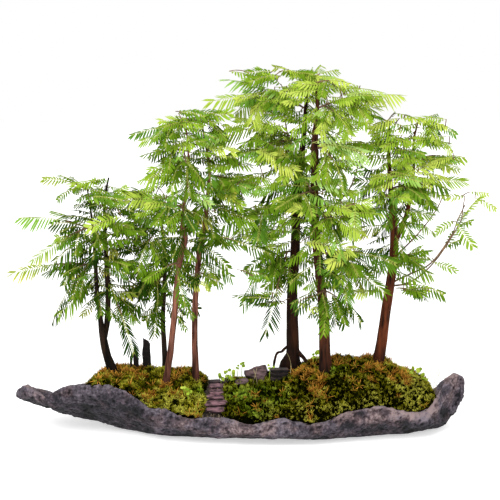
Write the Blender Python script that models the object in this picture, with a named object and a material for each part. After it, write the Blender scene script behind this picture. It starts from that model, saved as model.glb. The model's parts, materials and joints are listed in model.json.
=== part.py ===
"""Dawn redwood forest planted on a long rock-like slab tray, at real size.

The tables below are in millimetres and the finished meshes in metres, +Z up. The origin is the
middle of the tray's flat foot. +X runs along the tray to the viewer's right, +Y away from the viewer.
"""

import math
import random

import bmesh
import bpy
from mathutils import Matrix, Vector, noise
from mathutils.bvhtree import BVHTree

METRES = 0.001                 # one millimetre
CLEAR = 0.3                    # gap between pieces that touch, mm
UP = Vector((0.0, 0.0, 1.0))

# Slab tray. Each table follows the tray's length, so its first number is X.
STATIONS = [-345, -330, -308, -290, -276, -262, -247, -225, -205, -165, -147, -133, -108, -85, -54,
            -20, 4, 30, 64, 86, 107, 130, 155, 180, 216, 253, 273, 287, 297, 308, 320, 336, 350]
ROWS = [-1.0, -0.92, -0.78, -0.54, -0.26, 0.04, 0.42, 0.78, 0.92, 1.0]
FRONT_EDGE = [(-345, -6), (-330, -26), (-300, -46), (-268, -60), (-205, -76), (-147, -86), (-60, -97),
              (20, -100), (110, -98), (180, -91), (253, -78), (287, -62), (308, -36), (336, -8),
              (350, -2)]
FRONT_RIM = [(-345, 57), (-330, 73), (-308, 68), (-290, 62), (-276, 76), (-262, 81), (-247, 84),
             (-225, 86), (-205, 88), (-186, 86), (-165, 80), (-147, 68), (-133, 56), (-108, 55),
             (-85, 45), (-60, 42), (-37, 45), (-12, 41), (21, 34), (64, 42), (86, 39), (107, 32),
             (130, 36), (155, 48), (180, 55), (216, 57), (253, 46), (273, 42), (287, 46), (297, 56),
             (308, 69), (320, 83), (336, 86), (350, 78)]
BACK_EDGE = [(-345, 14), (-305, 44), (-247, 70), (-186, 90), (-92, 108), (21, 115), (130, 110),
             (205, 98), (253, 80), (287, 58), (308, 38), (336, 24), (350, 14)]
BACK_RIM = [(-345, 50), (-330, 55), (-308, 46), (-290, 38), (-276, 44), (-247, 48), (-225, 51),
            (-186, 56), (-133, 46), (-73, 44), (-20, 40), (4, 42), (64, 50), (107, 42), (180, 52),
            (253, 48), (287, 50), (308, 49), (320, 59), (336, 74), (350, 72)]
FLOOR = [(-345, 55), (-330, 65), (-308, 54), (-290, 46), (-276, 56), (-247, 62), (-225, 60),
         (-205, 48), (-165, 20), (-110, 14), (250, 14), (280, 22), (297, 36), (308, 54), (320, 74),
         (336, 82), (350, 77)]
KEEL = [(-345, 48), (-330, 41), (-308, 32), (-268, 21), (-225, 10), (-190, 0), (310, 0), (320, 3),
        (336, 17), (350, 48)]
LIP_UNDERSIDE = [(-345, 50), (-330, 58), (-308, 58), (-290, 52), (-247, 66), (-205, 73), (-165, 62),
                 (-133, 40), (-60, 27), (20, 20), (107, 18), (155, 30), (216, 40), (253, 30),
                 (287, 24), (308, 16), (320, 16), (336, 30), (350, 58)]
FOOT_HALF_DEPTH = [(-190, 0), (-150, 26), (-110, 44), (130, 60), (200, 46), (260, 30), (310, 0)]
LIP_SHARE = 0.92               # past this share of the half depth the slab's top is its rim
BOWL_POWER = 2.2               # how late the inside climbs to the rim
HULL_POWER = 1.7               # the same for the underside
ROCK_RELIEF = 2.6              # height of the lumps in the slab's faces
ROCK_LUMP = 0.035              # lumps per millimetre

# Soil and moss
SOIL_SPAN = (-225, 297)
MOSS_SPANS = {"moss_left": (-225, -54), "moss_right": (-20, 297)}
SOIL_ROW = 0.78                # soil and moss end at this share of the half depth
CREST = [(-225, 66), (-212, 76), (-205, 79), (-165, 79), (-112, 76), (-73, 75), (-54, 64), (-37, 62),
         (-20, 58), (4, 59), (30, 60), (64, 66), (86, 76), (107, 86), (130, 92), (155, 97), (205, 96),
         (230, 94), (253, 82), (273, 74), (297, 60)]
CREST_Y = 28
PROP = (34, 46, 12.0, 12.0)    # x, y, height and spread of the hump that the big slate leans on
MOUND_POWER = 0.8
MOSS_DEPTH = 6.5
MOSS_RELIEF = 2.4
MOSS_LUMP = 0.06

# Stems as (x, y, z, radius) from the foot of the trunk up
STEMS = {
    "a_left": [(-194, 5, 66, 8.6), (-195, 5, 86, 7.8), (-203, 5, 111, 6.7), (-208, 5, 136, 6.0),
               (-213, 5, 177, 3.8), (-217, 5, 220, 3.3), (-218, 5, 270, 2.9), (-222, 5, 327, 1.7),
               (-228, 5, 374, 1.1)],
    "a_right": [(-209, 6, 132, 4.4), (-203, 13, 164, 4.4), (-201, 13, 205, 4.1), (-202, 13, 260, 3.7),
                (-204, 13, 320, 2.5), (-202, 13, 358, 1.7), (-196, 13, 388, 1.2)],
    "b": [(-117, 45, 54, 6.4), (-117, 45, 76, 5.2), (-117, 45, 101, 4.3), (-119, 45, 162, 3.6),
          (-115, 45, 235, 3.3), (-117, 45, 293, 2.6), (-129, 45, 356, 1.3)],
    "c": [(-112, -25, 58, 6.6), (-110, -25, 80, 5.6), (-102, -25, 135, 4.8), (-95, -25, 197, 4.4),
          (-89, -25, 259, 4.4), (-82, -25, 286, 4.6), (-79, -25, 305, 4.2), (-83, -25, 326, 2.8),
          (-76, -25, 380, 2.2), (-73, -25, 430, 1.5), (-76, -25, 466, 1.1)],
    "d": [(-66, 0, 58, 6.6), (-66, 0, 80, 5.7), (-67, 0, 138, 4.7), (-66, 0, 195, 4.3),
          (-60, 0, 264, 4.3), (-56, 0, 288, 4.7), (-50, 0, 322, 4.0), (-44, 0, 380, 2.8),
          (-43, 0, 410, 2.5), (-50, 0, 448, 1.5), (-53, 0, 470, 1.1)],
    "e": [(86, 40, 58, 17.0), (86, 40, 82, 14.0), (86, 40, 104, 10.8), (85, 40, 144, 9.5),
          (84, 40, 205, 8.3), (88, 40, 270, 7.5), (90, 40, 353, 6.7), (94, 40, 395, 6.0),
          (100, 40, 446, 4.1), (103, 40, 494, 2.8), (106, 40, 530, 1.7)],
    "f": [(135, -5, 68, 12.0), (134, -5, 97, 9.8), (133, -5, 124, 8.5), (131, -5, 180, 7.8),
          (124, -5, 243, 7.2), (116, -5, 330, 6.4), (115, -5, 414, 5.8), (115, -5, 450, 4.7),
          (118, -5, 494, 3.0), (116, -5, 528, 1.6)],
    "g": [(215, 20, 70, 12.0), (218, 20, 97, 10.2), (222, 20, 123, 8.6), (230, 20, 189, 7.5),
          (238, 20, 252, 6.9), (239, 20, 300, 6.3), (234, 20, 350, 4.5), (229, 20, 410, 3.1),
          (228, 20, 468, 1.5)],
    "g_right": [(238, 21, 282, 4.2), (253, 24, 315, 3.5), (264, 24, 360, 2.9), (267, 24, 401, 2.4),
                (266, 24, 440, 1.7), (271, 24, 468, 1.2)],
}
ROOTS = {
    "e_root_back": [(85, 42, 118, 4.0), (80, 43, 101, 7.0), (75, 45, 86, 10.0), (72, 46, 60, 13.0)],
    "e_root_thin": [(84, 37, 120, 3.0), (75, 36, 117, 2.3), (68, 34, 111, 2.1), (61, 33, 109, 1.9),
                    (58, 32, 102, 1.7), (56, 31, 93, 1.9), (55, 30, 84, 1.5), (54, 30, 60, 1.2)],
    "e_root_right": [(90, 38, 114, 4.0), (97, 31, 107, 3.4), (104, 27, 100, 3.0), (112, 22, 82, 2.4)],
}
TREES = {"trunk_a": ["a_left", "a_right"], "trunk_b": ["b"], "trunk_c": ["c"], "trunk_d": ["d"],
         "trunk_e": ["e", "e_root_back", "e_root_thin", "e_root_right"], "trunk_f": ["f"],
         "trunk_g": ["g", "g_right"]}

# Limbs: stem, height on it, and each twig as (across, away, up, pairs of side fronds) to its tip
LIMBS = {
    "a_crown": ("a_left", 372, [(-60, -15, 16, 0), (-40, -28, -10, 0), (-22, 8, 26, 0), (24, -12, 16, 0)]),
    "a_left_high": ("a_left", 310, [(-103, -12, 17, 0), (-84, -34, -46, 0), (-46, -38, -22, 0)]),
    "a_left_low": ("a_left", 255, [(-130, -5, -20, 0), (-70, -20, -86, 0), (-42, -32, -8, 0)]),
    "a_right_high": ("a_right", 340, [(42, -28, 4, 1), (28, 30, 30, 0), (-22, -34, 8, 0)]),
    "a_right_low": ("a_right", 205, [(54, 5, -28, 1), (42, -35, -84, 0), (-12, 60, 20, 0)]),
    "b_crown": ("b", 350, [(-58, -5, 15, 1), (-44, -50, -12, 0), (-8, 30, 26, 0)]),
    "b_left": ("b", 300, [(-66, -18, 6, 1), (-36, -72, -45, 1)]),
    "b_low": ("b", 240, [(-66, 5, -38, 1), (-42, -45, -68, 0), (-12, -32, -100, 0)]),
    "b_back": ("b", 260, [(45, 40, -25, 0), (-30, 72, 0, 0)]),
    "c_crown": ("c", 466, [(-76, -15, -13, 1), (-10, -8, 26, 0), (-40, 40, 0, 0)]),
    "c_high": ("c", 432, [(-64, -20, -6, 1), (4, -68, -57, 1)]),
    "c_middle": ("c", 350, [(-66, -35, -8, 1), (12, -62, -24, 1)]),
    "c_low": ("c", 265, [(-44, -42, -20, 0), (6, -64, -50, 0)]),
    "d_crown": ("d", 470, [(8, -6, 24, 0), (-34, -25, 4, 0), (46, 14, -8, 1), (34, -30, -20, 0)]),
    "d_middle": ("d", 392, [(78, -15, -24, 1), (46, 42, -44, 1)]),
    "d_low": ("d", 300, [(103, -12, -30, 0)]),
    "d_front": ("d", 245, [(22, -52, -8, 1)]),
    "e_crown": ("e", 530, [(4, 0, 27, 0), (-38, -12, 16, 1), (44, 12, 18, 1)]),
    "e_high": ("e", 492, [(-116, -8, 41, 0), (-142, -32, 9, 1), (-72, -16, 60, 0)]),
    "e_left": ("e", 440, [(-132, -5, 18, 1), (-120, -62, -32, 0), (-98, -14, 37, 0)]),
    "e_front": ("e", 405, [(-28, -76, -14, 1), (-64, -62, 36, 1)]),
    "e_middle": ("e", 340, [(-80, 12, -10, 0), (-122, -45, -28, 1)]),
    "e_low": ("e", 270, [(-74, -28, -22, 1), (-90, 2, -82, 0), (-44, -42, -126, 0)]),
    "e_back": ("e", 365, [(64, 76, 5, 0), (4, 84, -45, 0)]),
    "f_crown": ("f", 528, [(-4, -12, 20, 0), (44, -34, 2, 1)]),
    "f_high": ("f", 495, [(122, -5, 14, 2), (44, -66, -30, 1)]),
    "f_upper": ("f", 435, [(82, -25, 4, 1), (44, -60, -50, 1)]),
    "f_left": ("f", 370, [(-54, -64, -20, 1), (-24, -74, 28, 0)]),
    "f_middle": ("f", 335, [(112, -12, 2, 1), (54, -76, -25, 1), (40, -64, -52, 0)]),
    "f_low": ("f", 275, [(108, -46, -6, 1), (46, -42, -82, 0), (92, -62, -50, 1)]),
    "f_hanging": ("f", 220, [(62, -22, -44, 1), (-38, -46, -24, 0), (4, -44, -60, 0)]),
    "g_crown": ("g", 468, [(-34, -10, 16, 1), (6, 2, 26, 0), (30, -18, -8, 0)]),
    "g_left": ("g", 380, [(-62, -36, -14, 1), (-40, 28, 46, 0)]),
    "g_front": ("g", 372, [(102, -36, 8, 1), (36, -62, -6, 1)]),
    "g_middle": ("g", 258, [(46, -40, 24, 1), (44, 40, 34, 0)]),
    "g_right_crown": ("g_right", 468, [(28, 2, 14, 0), (54, -22, -12, 1), (-12, 18, 22, 0)]),
    "g_right_high": ("g_right", 415, [(78, 6, 0, 1), (56, -42, -18, 0)]),
    "g_long": ("g", 220, [(132, -8, 164, 2), (78, -20, -6, 1)]),
}
TWIG_RADIUS = 1.5
TWIG_END_RADIUS = 0.8
FOOT_CORNER = 1.1              # how far a tilted foot's corner dips towards the stem, in radii
FORK_AT = 5.0                  # side twigs leave the main one this far out
ARCH = 0.16                    # rise of a limb's middle as a share of its reach
STEEP = 0.5                    # a twig that climbs more than this grows out first and then up
FROND_LENGTH = 68.0
FROND_SHARE = 0.6              # a short limb's end frond takes this share of its reach
END_LENGTHS = {"g_long": 42.0}  # a limb that is bare far out ends in a shorter frond
FROND_HALF_WIDTH = 0.27        # as a share of the frond's length
PAIR_SPACING = 30.0
PAIR_SETBACK = 9.0             # the last pair leaves the twig this far before its end frond
PAIR_ANGLE = math.radians(58)
TILT = 0.7                     # a frond's face turns out to the front or the back by this angle
ROLL = 0.22                    # and by up to this one either way
BEHIND = 15.0                  # fronds that reach so far behind their stem face the back
SIDE_FALL = (0.2, 0.55)        # least and greatest fall of a side frond for its length
DROOP = 0.2                    # drop of a frond's tip as a share of its length
KEEL_FOLD = 0.3                # drop of the leaflets' tips as a share of their length
RIB = 1.2                      # a rib's width and depth
LEAFLET_RUN = 20.0             # one pair of leaflets for so much rib
STALK = 0.15                   # bare share of a frond's rib
BLADE_END = 0.9                # the last side leaflets end here
SWEEP = 0.35                   # how far leaflets point forward, as a share of their length
GUARD = 1.0                    # room kept round stems, twigs and fronds
SIBLING_GUARD = 0.15           # room kept between fronds of one twig
# Bends tried in turn until a frond hangs clear: pitch and yaw in degrees, then share of length
BENDS = [(0, 0, 1.0), (9, 0, 1.0), (-9, 0, 1.0), (0, 10, 1.0), (0, -10, 1.0), (18, 8, 0.95),
         (-18, -8, 0.95), (27, 0, 0.9), (-27, 0, 0.9), (14, -20, 0.85), (-14, 20, 0.85), (36, 10, 0.8),
         (-36, -10, 0.8), (22, 28, 0.7), (-22, -28, 0.7), (45, 0, 0.65), (-45, 0, 0.65)]

# Flat stones as (x, y, lift above the soil, length, depth, thickness, tilt, turn, plates)
STEPPING_STONES = [(-34, -65, 1.5, 31, 15, 4, 14, -5, 1), (-34, -49, 1.5, 35, 16, 4, 15, 6, 1),
                   (-35, -32, 1.5, 30, 15, 4, 15, -5, 1), (-33, -14, 1.5, 26, 16, 4, 14, 7, 1),
                   (-34, 8, 1.5, 25, 18, 4, 10, -8, 1)]
SLATES = [(27, 31, 15, 39, 33, 4.5, 42, 0, 1), (5, 14, 8.5, 20, 14, 5, 26, 10, 1),
          (64, 15, 14.5, 31, 15, 19, 3, 5, 3)]
# Corners of the big slate, as shares of its half length and half depth
SLAB_OUTLINE = [(-0.95, 0.3), (-0.45, 0.45), (-0.05, 0.78), (0.85, 1.0), (1.0, 0.25), (0.68, -1.0),
                (-0.15, -0.65), (-0.9, -0.35)]
CORNER_REACH = 0.2             # how far a stone's corners stand out of an ellipse
GROOVE_SHARE = 0.4             # a groove between two plates of a stone, for a plate's thickness
WAIST = 0.8                    # and the size of the stone in that groove
SHARDS = [(-169, 29, 4.5, 19, 4.5), (-161, 31, 8.5, 33, 5.5), (-144.5, 33, 14, 49, 6.5)]
SHARD_FOOT = 12                # how deep a shard stands below the moss
SHARD_BREAK = 0.17             # a shard's right side breaks off lower, by this share of its height
CUTTER_RISE = 25               # a stone's cutter clears the moss above it by this

COLOURS = {"rock": (0.10, 0.10, 0.12), "soil": (0.045, 0.030, 0.020), "moss": (0.13, 0.16, 0.02),
           "slate": (0.15, 0.10, 0.12), "bark": (0.13, 0.06, 0.04), "frond": (0.24, 0.40, 0.07)}


def along(table, x):
    """Value of a table at x, on straight runs between its points."""
    if x <= table[0][0]:
        return table[0][1]
    for (x0, v0), (x1, v1) in zip(table, table[1:]):
        if x <= x1:
            return v0 + (v1 - v0) * (x - x0) / (x1 - x0)
    return table[-1][1]


def rock_lumps(x, y, side):
    return ROCK_RELIEF * noise.noise(Vector((x, y, side * 400.0)) * ROCK_LUMP)


def depth_share(x, y):
    """How far y lies out towards the slab's edge, from 0 to 1, and that edge's y."""
    edge = along(FRONT_EDGE if y < 0 else BACK_EDGE, x)
    return y / edge, abs(edge)


def tray_top(x, y):
    share, _ = depth_share(x, y)
    rim = along(FRONT_RIM if y < 0 else BACK_RIM, x)
    climb = min(1.0, share / LIP_SHARE) ** BOWL_POWER
    return along(FLOOR, x) * (1.0 - climb) + rim * climb + rock_lumps(x, y, 1)


def tray_underside(x, y):
    share, edge = depth_share(x, y)
    foot = along(FOOT_HALF_DEPTH, x)
    climb = max(0.0, (share * edge - foot) / (edge - foot))
    lip = min(along(LIP_UNDERSIDE, x), along(FRONT_RIM if y < 0 else BACK_RIM, x) - 9)
    keel = along(KEEL, x)
    lumps = rock_lumps(x, y, -1) * min(1.0, climb * 3 + keel / 10)
    return keel + (lip - keel) * climb ** HULL_POWER + lumps


def ground(x, y):
    """Soil surface: a ridge along CREST that falls to the rims in front and behind."""
    edge_y = along(FRONT_EDGE if y < CREST_Y else BACK_EDGE, x) * SOIL_ROW
    edge_z = along(FRONT_RIM if y < CREST_Y else BACK_RIM, x) - 4
    share = min(1.0, max(0.0, (y - edge_y) / (CREST_Y - edge_y)))
    ridge = edge_z + (along(CREST, x) - edge_z) * math.sin(math.pi / 2 * share) ** MOUND_POWER
    prop_x, prop_y, height, spread = PROP
    away = ((x - prop_x) ** 2 + (y - prop_y) ** 2) / spread ** 2
    return max(ridge + height * math.exp(-away), tray_top(x, y) + 3)


def soil_underside(x, y):
    return tray_top(x, y) + CLEAR


def moss_underside(x, y):
    return ground(x, y) + CLEAR


def moss_top(x, y):
    lumps = noise.noise(Vector((x, y, 77.0)) * MOSS_LUMP)
    return ground(x, y) + MOSS_DEPTH + MOSS_RELIEF * lumps


def material(name):
    made = bpy.data.materials.new(name)
    made.use_nodes = True
    shader = made.node_tree.nodes["Principled BSDF"]
    shader.inputs["Base Color"].default_value = (*COLOURS[name], 1.0)
    shader.inputs["Roughness"].default_value = 0.8
    return made


def new_object(name, bm, collection, finish):
    """Turns a bmesh in millimetres into an object in metres."""
    bmesh.ops.scale(bm, vec=Vector((1, 1, 1)) * METRES, verts=bm.verts)
    bmesh.ops.recalc_face_normals(bm, faces=bm.faces)
    mesh = bpy.data.meshes.new(name)
    bm.to_mesh(mesh)
    bm.free()
    obj = bpy.data.objects.new(name, mesh)
    collection.objects.link(obj)
    if finish:
        mesh.materials.append(finish)
    return obj


def ground_layer(name, top, underside, span, row, collection, finish):
    """A layer between two surfaces, on the grid of stations and rows that all layers share."""
    columns = [x for x in STATIONS if span[0] <= x <= span[1]]
    shares = [share for share in ROWS if abs(share) <= row]
    bm = bmesh.new()
    made = bmesh.ops.create_grid(bm, x_segments=len(columns) - 1, y_segments=len(shares) - 1, size=1)
    for vert in made["verts"]:
        x = columns[round((vert.co.x + 1) / 2 * (len(columns) - 1))]
        share = shares[round((vert.co.y + 1) / 2 * (len(shares) - 1))]
        edge = along(BACK_EDGE, x) if share > 0 else -along(FRONT_EDGE, x)
        vert.co = (x, share * edge, 0)
    bmesh.ops.triangulate(bm, faces=bm.faces[:], quad_method="FIXED")
    lower = bm.verts[:]
    made = bmesh.ops.extrude_face_region(bm, geom=bm.faces[:])
    upper = [part for part in made["geom"] if isinstance(part, bmesh.types.BMVert)]
    for vert in lower:
        vert.co.z = underside(vert.co.x, vert.co.y)
    for vert in upper:
        vert.co.z = top(vert.co.x, vert.co.y)
    return new_object(name, bm, collection, finish)


def as_mesh(obj, collection, finish=None):
    """Replaces a curve or a modified object by its evaluated mesh, with loose caps welded."""
    evaluated = obj.evaluated_get(bpy.context.evaluated_depsgraph_get())
    mesh = bpy.data.meshes.new_from_object(evaluated)
    bm = bmesh.new()
    bm.from_mesh(mesh)
    bmesh.ops.remove_doubles(bm, verts=bm.verts, dist=1e-6)
    bmesh.ops.recalc_face_normals(bm, faces=bm.faces)
    bm.to_mesh(mesh)
    bm.free()
    name = obj.name
    bpy.data.objects.remove(obj)
    made = bpy.data.objects.new(name, mesh)
    collection.objects.link(made)
    if finish:
        mesh.materials.clear()
        mesh.materials.append(finish)
    return made


def tube(name, points, collection, resolution, grow=0.0):
    """A tapered round stem along (x, y, z, radius) points; grow fattens it into a cutter."""
    curve = bpy.data.curves.new(name, "CURVE")
    curve.dimensions = "3D"
    curve.bevel_depth = METRES
    curve.bevel_resolution = resolution
    curve.use_fill_caps = True
    spline = curve.splines.new("POLY")
    spline.points.add(len(points) - 1)
    route = [Vector(point[:3]) for point in points]
    route[0] += (route[0] - route[1]).normalized() * grow
    route[-1] += (route[-1] - route[-2]).normalized() * grow
    for place, point, (*_, radius) in zip(spline.points, route, points):
        place.co = (*point * METRES, 1.0)
        place.radius = radius + grow
    obj = bpy.data.objects.new(name, curve)
    collection.objects.link(obj)
    return as_mesh(obj, collection)


def boolean(obj, others, operation, collection, finish, solver="EXACT"):
    """One applied Boolean of obj with a list of others, which are then removed."""
    group = bpy.data.collections.new(obj.name + "_others")
    bpy.context.scene.collection.children.link(group)
    for other in others:
        for owner in list(other.users_collection):
            owner.objects.unlink(other)
        group.objects.link(other)
    modifier = obj.modifiers.new(operation.lower(), "BOOLEAN")
    modifier.operation = operation
    modifier.solver = solver
    modifier.operand_type = "COLLECTION"
    modifier.collection = group
    made = as_mesh(obj, collection, finish)
    for other in list(group.objects):
        bpy.data.objects.remove(other)
    bpy.data.collections.remove(group)
    return made


def stem_tubes(stems, collection, grow=0.0):
    routes = {**STEMS, **ROOTS}
    return [tube("stem_" + stem, routes[stem], collection, 2 if stem in STEMS else 1, grow)
            for stem in stems]


def trunk(name, stems, collection, finish, grow=0.0):
    """A trunk with its second stem or its surface roots grown together with it."""
    first, *others = stem_tubes(stems, collection, grow)
    first.name = name
    if others:
        return boolean(first, others, "UNION", collection, finish)
    if finish:
        first.data.materials.append(finish)
    return first


def stone_corners(stone, seed):
    """Eight corners of a flat stone, as shares of its half length and half depth."""
    if stone == SLATES[0]:
        return SLAB_OUTLINE
    draw = random.Random(seed)
    corners = []
    for number in range(8):
        angle = math.pi * number / 4
        reach = (1.0 + draw.uniform(-0.13, 0.1)) * (1.0 + CORNER_REACH * abs(math.sin(2 * angle)))
        corners.append((math.cos(angle) * reach, math.sin(angle) * reach))
    return corners


def raise_plates(bm, thickness, plates):
    """Pulls the flat outline up into a stone of one or more plates with grooves between them."""
    plate = thickness / (plates + GROOVE_SHARE * (plates - 1))
    groove = plate * GROOVE_SHARE / 2
    rises = [(plate, 1.0)] + [(groove, WAIST), (groove, 1 / WAIST), (plate, 1.0)] * (plates - 1)
    face = bm.faces[:]
    inner = False              # from the second rise on, the face risen from would be left inside
    for rise, size in rises:
        made = bmesh.ops.extrude_face_region(bm, geom=face)
        if inner:
            bmesh.ops.delete(bm, geom=face, context="FACES_ONLY")
        inner = True
        upper = [part for part in made["geom"] if isinstance(part, bmesh.types.BMVert)]
        face = [part for part in made["geom"] if isinstance(part, bmesh.types.BMFace)]
        bmesh.ops.scale(bm, vec=(size, size, 1), verts=upper)
        bmesh.ops.translate(bm, vec=(0, 0, rise), verts=upper)


def flat_stone(name, stone, seed, collection, finish, grow=0.0):
    """An irregular flat stone lying in the ground; grown, it is the cutter of its own bed."""
    x, y, lift, length, depth, thickness, tilt, turn, plates = stone
    bm = bmesh.new()
    bmesh.ops.create_circle(bm, cap_ends=True, segments=8, radius=1)
    for vert, (across, away) in zip(bm.verts, stone_corners(stone, seed)):
        vert.co = (across * (length / 2 + 2 * grow), away * (depth / 2 + 2 * grow), 0)
    if grow:
        raise_plates(bm, thickness + CUTTER_RISE, 1)
    else:
        raise_plates(bm, thickness, plates)
    bmesh.ops.translate(bm, vec=(0, 0, -thickness * 0.55 - grow), verts=bm.verts)
    turned = Matrix.Rotation(math.radians(tilt), 4, "X") @ Matrix.Rotation(math.radians(turn), 4, "Z")
    bmesh.ops.transform(bm, matrix=turned, verts=bm.verts)
    bmesh.ops.translate(bm, vec=(x, y, ground(x, y) + lift), verts=bm.verts)
    return new_object(name, bm, collection, finish)


def shard(name, place, collection, finish, grow=0.0):
    """A splinter of rock standing upright, its top broken off at a slant."""
    x, y, width, height, thickness = place
    bm = bmesh.new()
    bmesh.ops.create_cube(bm, size=1)
    for vert in bm.verts:
        top = vert.co.z > 0
        lean = 0.78 if top else 1.0
        slant = height * SHARD_BREAK if top and vert.co.x > 0 else 0.0
        vert.co = (vert.co.x * (width * lean + 2 * grow), vert.co.y * (thickness * lean + 2 * grow),
                   height - slant if top else -SHARD_FOOT - grow)
    bmesh.ops.translate(bm, vec=(x, y, ground(x, y) + MOSS_DEPTH), verts=bm.verts)
    return new_object(name, bm, collection, finish)


def stem_at(stem, z):
    """Axis point and radius of a stem at a height."""
    points = STEMS[stem]
    for (x0, y0, z0, r0), (x1, y1, z1, r1) in zip(points, points[1:]):
        if z <= z1:
            share = (z - z0) / (z1 - z0)
            return Vector((x0, y0, z0)).lerp(Vector((x1, y1, z1)), share), r0 + share * (r1 - r0)
    return Vector(points[-1][:3]), points[-1][3]


def limb_path(start, tip, share):
    """Point and direction on a limb's arch, share of the way from its start to its tip."""
    run = tip - start
    steep = run.z > STEEP * run.xy.length
    crown = start + run * 0.5 + UP * (-0.5 * run.z if steep else ARCH * run.length)
    point = start.lerp(crown, share).lerp(crown.lerp(tip, share), share)
    heading = (crown - start).lerp(tip - crown, share).normalized()
    return point, heading


def plan_twigs(name):
    """The twigs of a limb: start, tip, share of the way where the end frond begins, and pairs."""
    stem, height, tips = LIMBS[name]
    axis, radius = stem_at(stem, height)
    apex = height >= STEMS[stem][-1][2]
    lean = sum((Vector((across, away, 0)) for across, away, *_ in tips), Vector())
    outward = UP if apex else lean.normalized()
    twigs = []
    for across, away, up, pairs in tips:
        tip = axis + Vector((across, away, up))
        if twigs:
            main_start, main_tip = twigs[0][:2]
            start, _ = limb_path(main_start, main_tip, FORK_AT / (main_tip - main_start).length)
        else:
            _, heading = limb_path(axis, tip, 0.0)
            tilt = math.sqrt(max(0.0, 1.0 - heading.dot(outward) ** 2))
            foot_room = CLEAR + TWIG_RADIUS * FOOT_CORNER * tilt
            start = axis + outward * ((0 if apex else radius) + foot_room)
        reach = (tip - start).length
        longest = END_LENGTHS.get(name, FROND_LENGTH)
        share = 1.0 - min(longest, reach * FROND_SHARE) / reach
        twigs.append((start, tip, share, pairs))
    return twigs


def frond_frame(origin, heading, roll):
    """Axes of a frond: along its rib, to its left and out of its upper face."""
    side = UP.cross(heading)
    side = side.normalized() if side.length > 0.05 else Vector((0, 1, 0))
    side.rotate(Matrix.Rotation(roll, 3, heading))
    return origin, heading, side, heading.cross(side)


def frond_width(share):
    """Half width of a frond at a share of its length, as a share of the widest."""
    return math.sin(math.pi * max(0.0, 1.03 * share - STALK * 0.8)) ** 0.7


def frond_point(frame, length, run, across, height=0.0):
    origin, heading, side, face = frame
    drop = DROOP * length * (run / length) ** 2 + KEEL_FOLD * abs(across)
    return origin + heading * run + side * across + face * (height - drop)


def face_roll(heading, behind, draw):
    """Roll that turns a frond's upper face to the front, or to the back where it hangs behind."""
    turned_out = TILT * UP.cross(heading).y * (-1 if behind else 1)
    return turned_out + draw.uniform(-ROLL, ROLL)


def plan_fronds(name, draw):
    """Each frond that a limb would carry: origin, heading, roll, length, twig, place and hand."""
    wanted = []
    stem, height, _ = LIMBS[name]
    axis, _ = stem_at(stem, height)
    for number, (start, tip, share, pairs) in enumerate(plan_twigs(name)):
        reach = (tip - start).length
        length = (1.0 - share) * reach
        origin, heading = limb_path(start, tip, share)
        behind = tip.y > axis.y + BEHIND
        wanted.append((origin, heading, face_roll(heading, behind, draw), length, number, share, 0))
        for pair in range(pairs):
            place = share - (PAIR_SETBACK + pair * PAIR_SPACING) / reach
            if place * reach < PAIR_SETBACK:
                break
            origin, heading = limb_path(start, tip, place)
            for hand in (-1, 1):
                outward = heading.copy()
                outward.rotate(Matrix.Rotation(hand * PAIR_ANGLE + draw.uniform(-0.1, 0.1), 3, UP))
                outward.z -= draw.uniform(*SIDE_FALL)
                outward.normalize()
                behind = (origin + outward * length).y > axis.y + BEHIND
                side_length = max(34.0, length * (0.86 - 0.06 * pair) * draw.uniform(0.92, 1.08))
                wanted.append((origin, outward, face_roll(outward, behind, draw),
                               min(side_length, FROND_LENGTH), number, place, hand))
    return wanted


def slab_guard(frame, length, room):
    """A thin plate round a frond's leaflets."""
    bm = bmesh.new()
    bmesh.ops.create_cube(bm, size=2)
    lengthwise = [edge for edge in bm.edges if abs(edge.verts[0].co.x - edge.verts[1].co.x) > 1]
    bmesh.ops.subdivide_edges(bm, edges=lengthwise, cuts=3, use_grid_fill=True)
    for vert in bm.verts:
        share = STALK + (1.0 - STALK) * (vert.co.x + 1) / 2
        across = FROND_HALF_WIDTH * length * frond_width(share) + room
        vert.co = frond_point(frame, length, share * length, vert.co.y * across,
                              vert.co.z * (room + RIB / 2) - RIB / 2)
    return bm


def tube_guard(points):
    """Stubby round pieces round a stem or a twig."""
    bm = bmesh.new()
    for (x0, y0, z0, r0), (x1, y1, z1, r1) in zip(points, points[1:]):
        low, high = Vector((x0, y0, z0)), Vector((x1, y1, z1))
        turned = (high - low).to_track_quat("Z", "Y").to_matrix().to_4x4()
        bmesh.ops.create_cone(bm, cap_ends=True, segments=8, radius1=r0 * 1.08 + GUARD,
                              radius2=r1 * 1.08 + GUARD, depth=(high - low).length,
                              matrix=Matrix.Translation((low + high) / 2) @ turned)
    return bm


def tree_of(bm):
    found = BVHTree.FromBMesh(bm)
    low = Vector([min(vert.co[axis] for vert in bm.verts) for axis in range(3)])
    high = Vector([max(vert.co[axis] for vert in bm.verts) for axis in range(3)])
    bm.free()
    return found, low, high


def meets(one, other):
    apart = any(one[1][axis] > other[2][axis] or other[1][axis] > one[2][axis] for axis in range(3))
    return not apart and bool(one[0].overlap(other[0]))


def bent(frond, bend):
    origin, heading, roll, length = frond[:4]
    pitch, yaw, size = bend
    turned = heading.copy()
    across = UP.cross(heading).normalized() if UP.cross(heading).length > 0.05 else Vector((0, 1, 0))
    turned.rotate(Matrix.Rotation(math.radians(-pitch), 3, across))
    turned.rotate(Matrix.Rotation(math.radians(yaw), 3, UP))
    return frond_frame(origin, turned, roll), length * size


def twig_radius(stop, share):
    return TWIG_RADIUS + (TWIG_END_RADIUS - TWIG_RADIUS) * stop / share


def twig_points(start, tip, share):
    """The twig's route, tapering, up to the foot of its end frond."""
    stops = [0.0, share * 0.5, share]
    return [(*limb_path(start, tip, stop)[0], twig_radius(stop, share)) for stop in stops]


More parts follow.
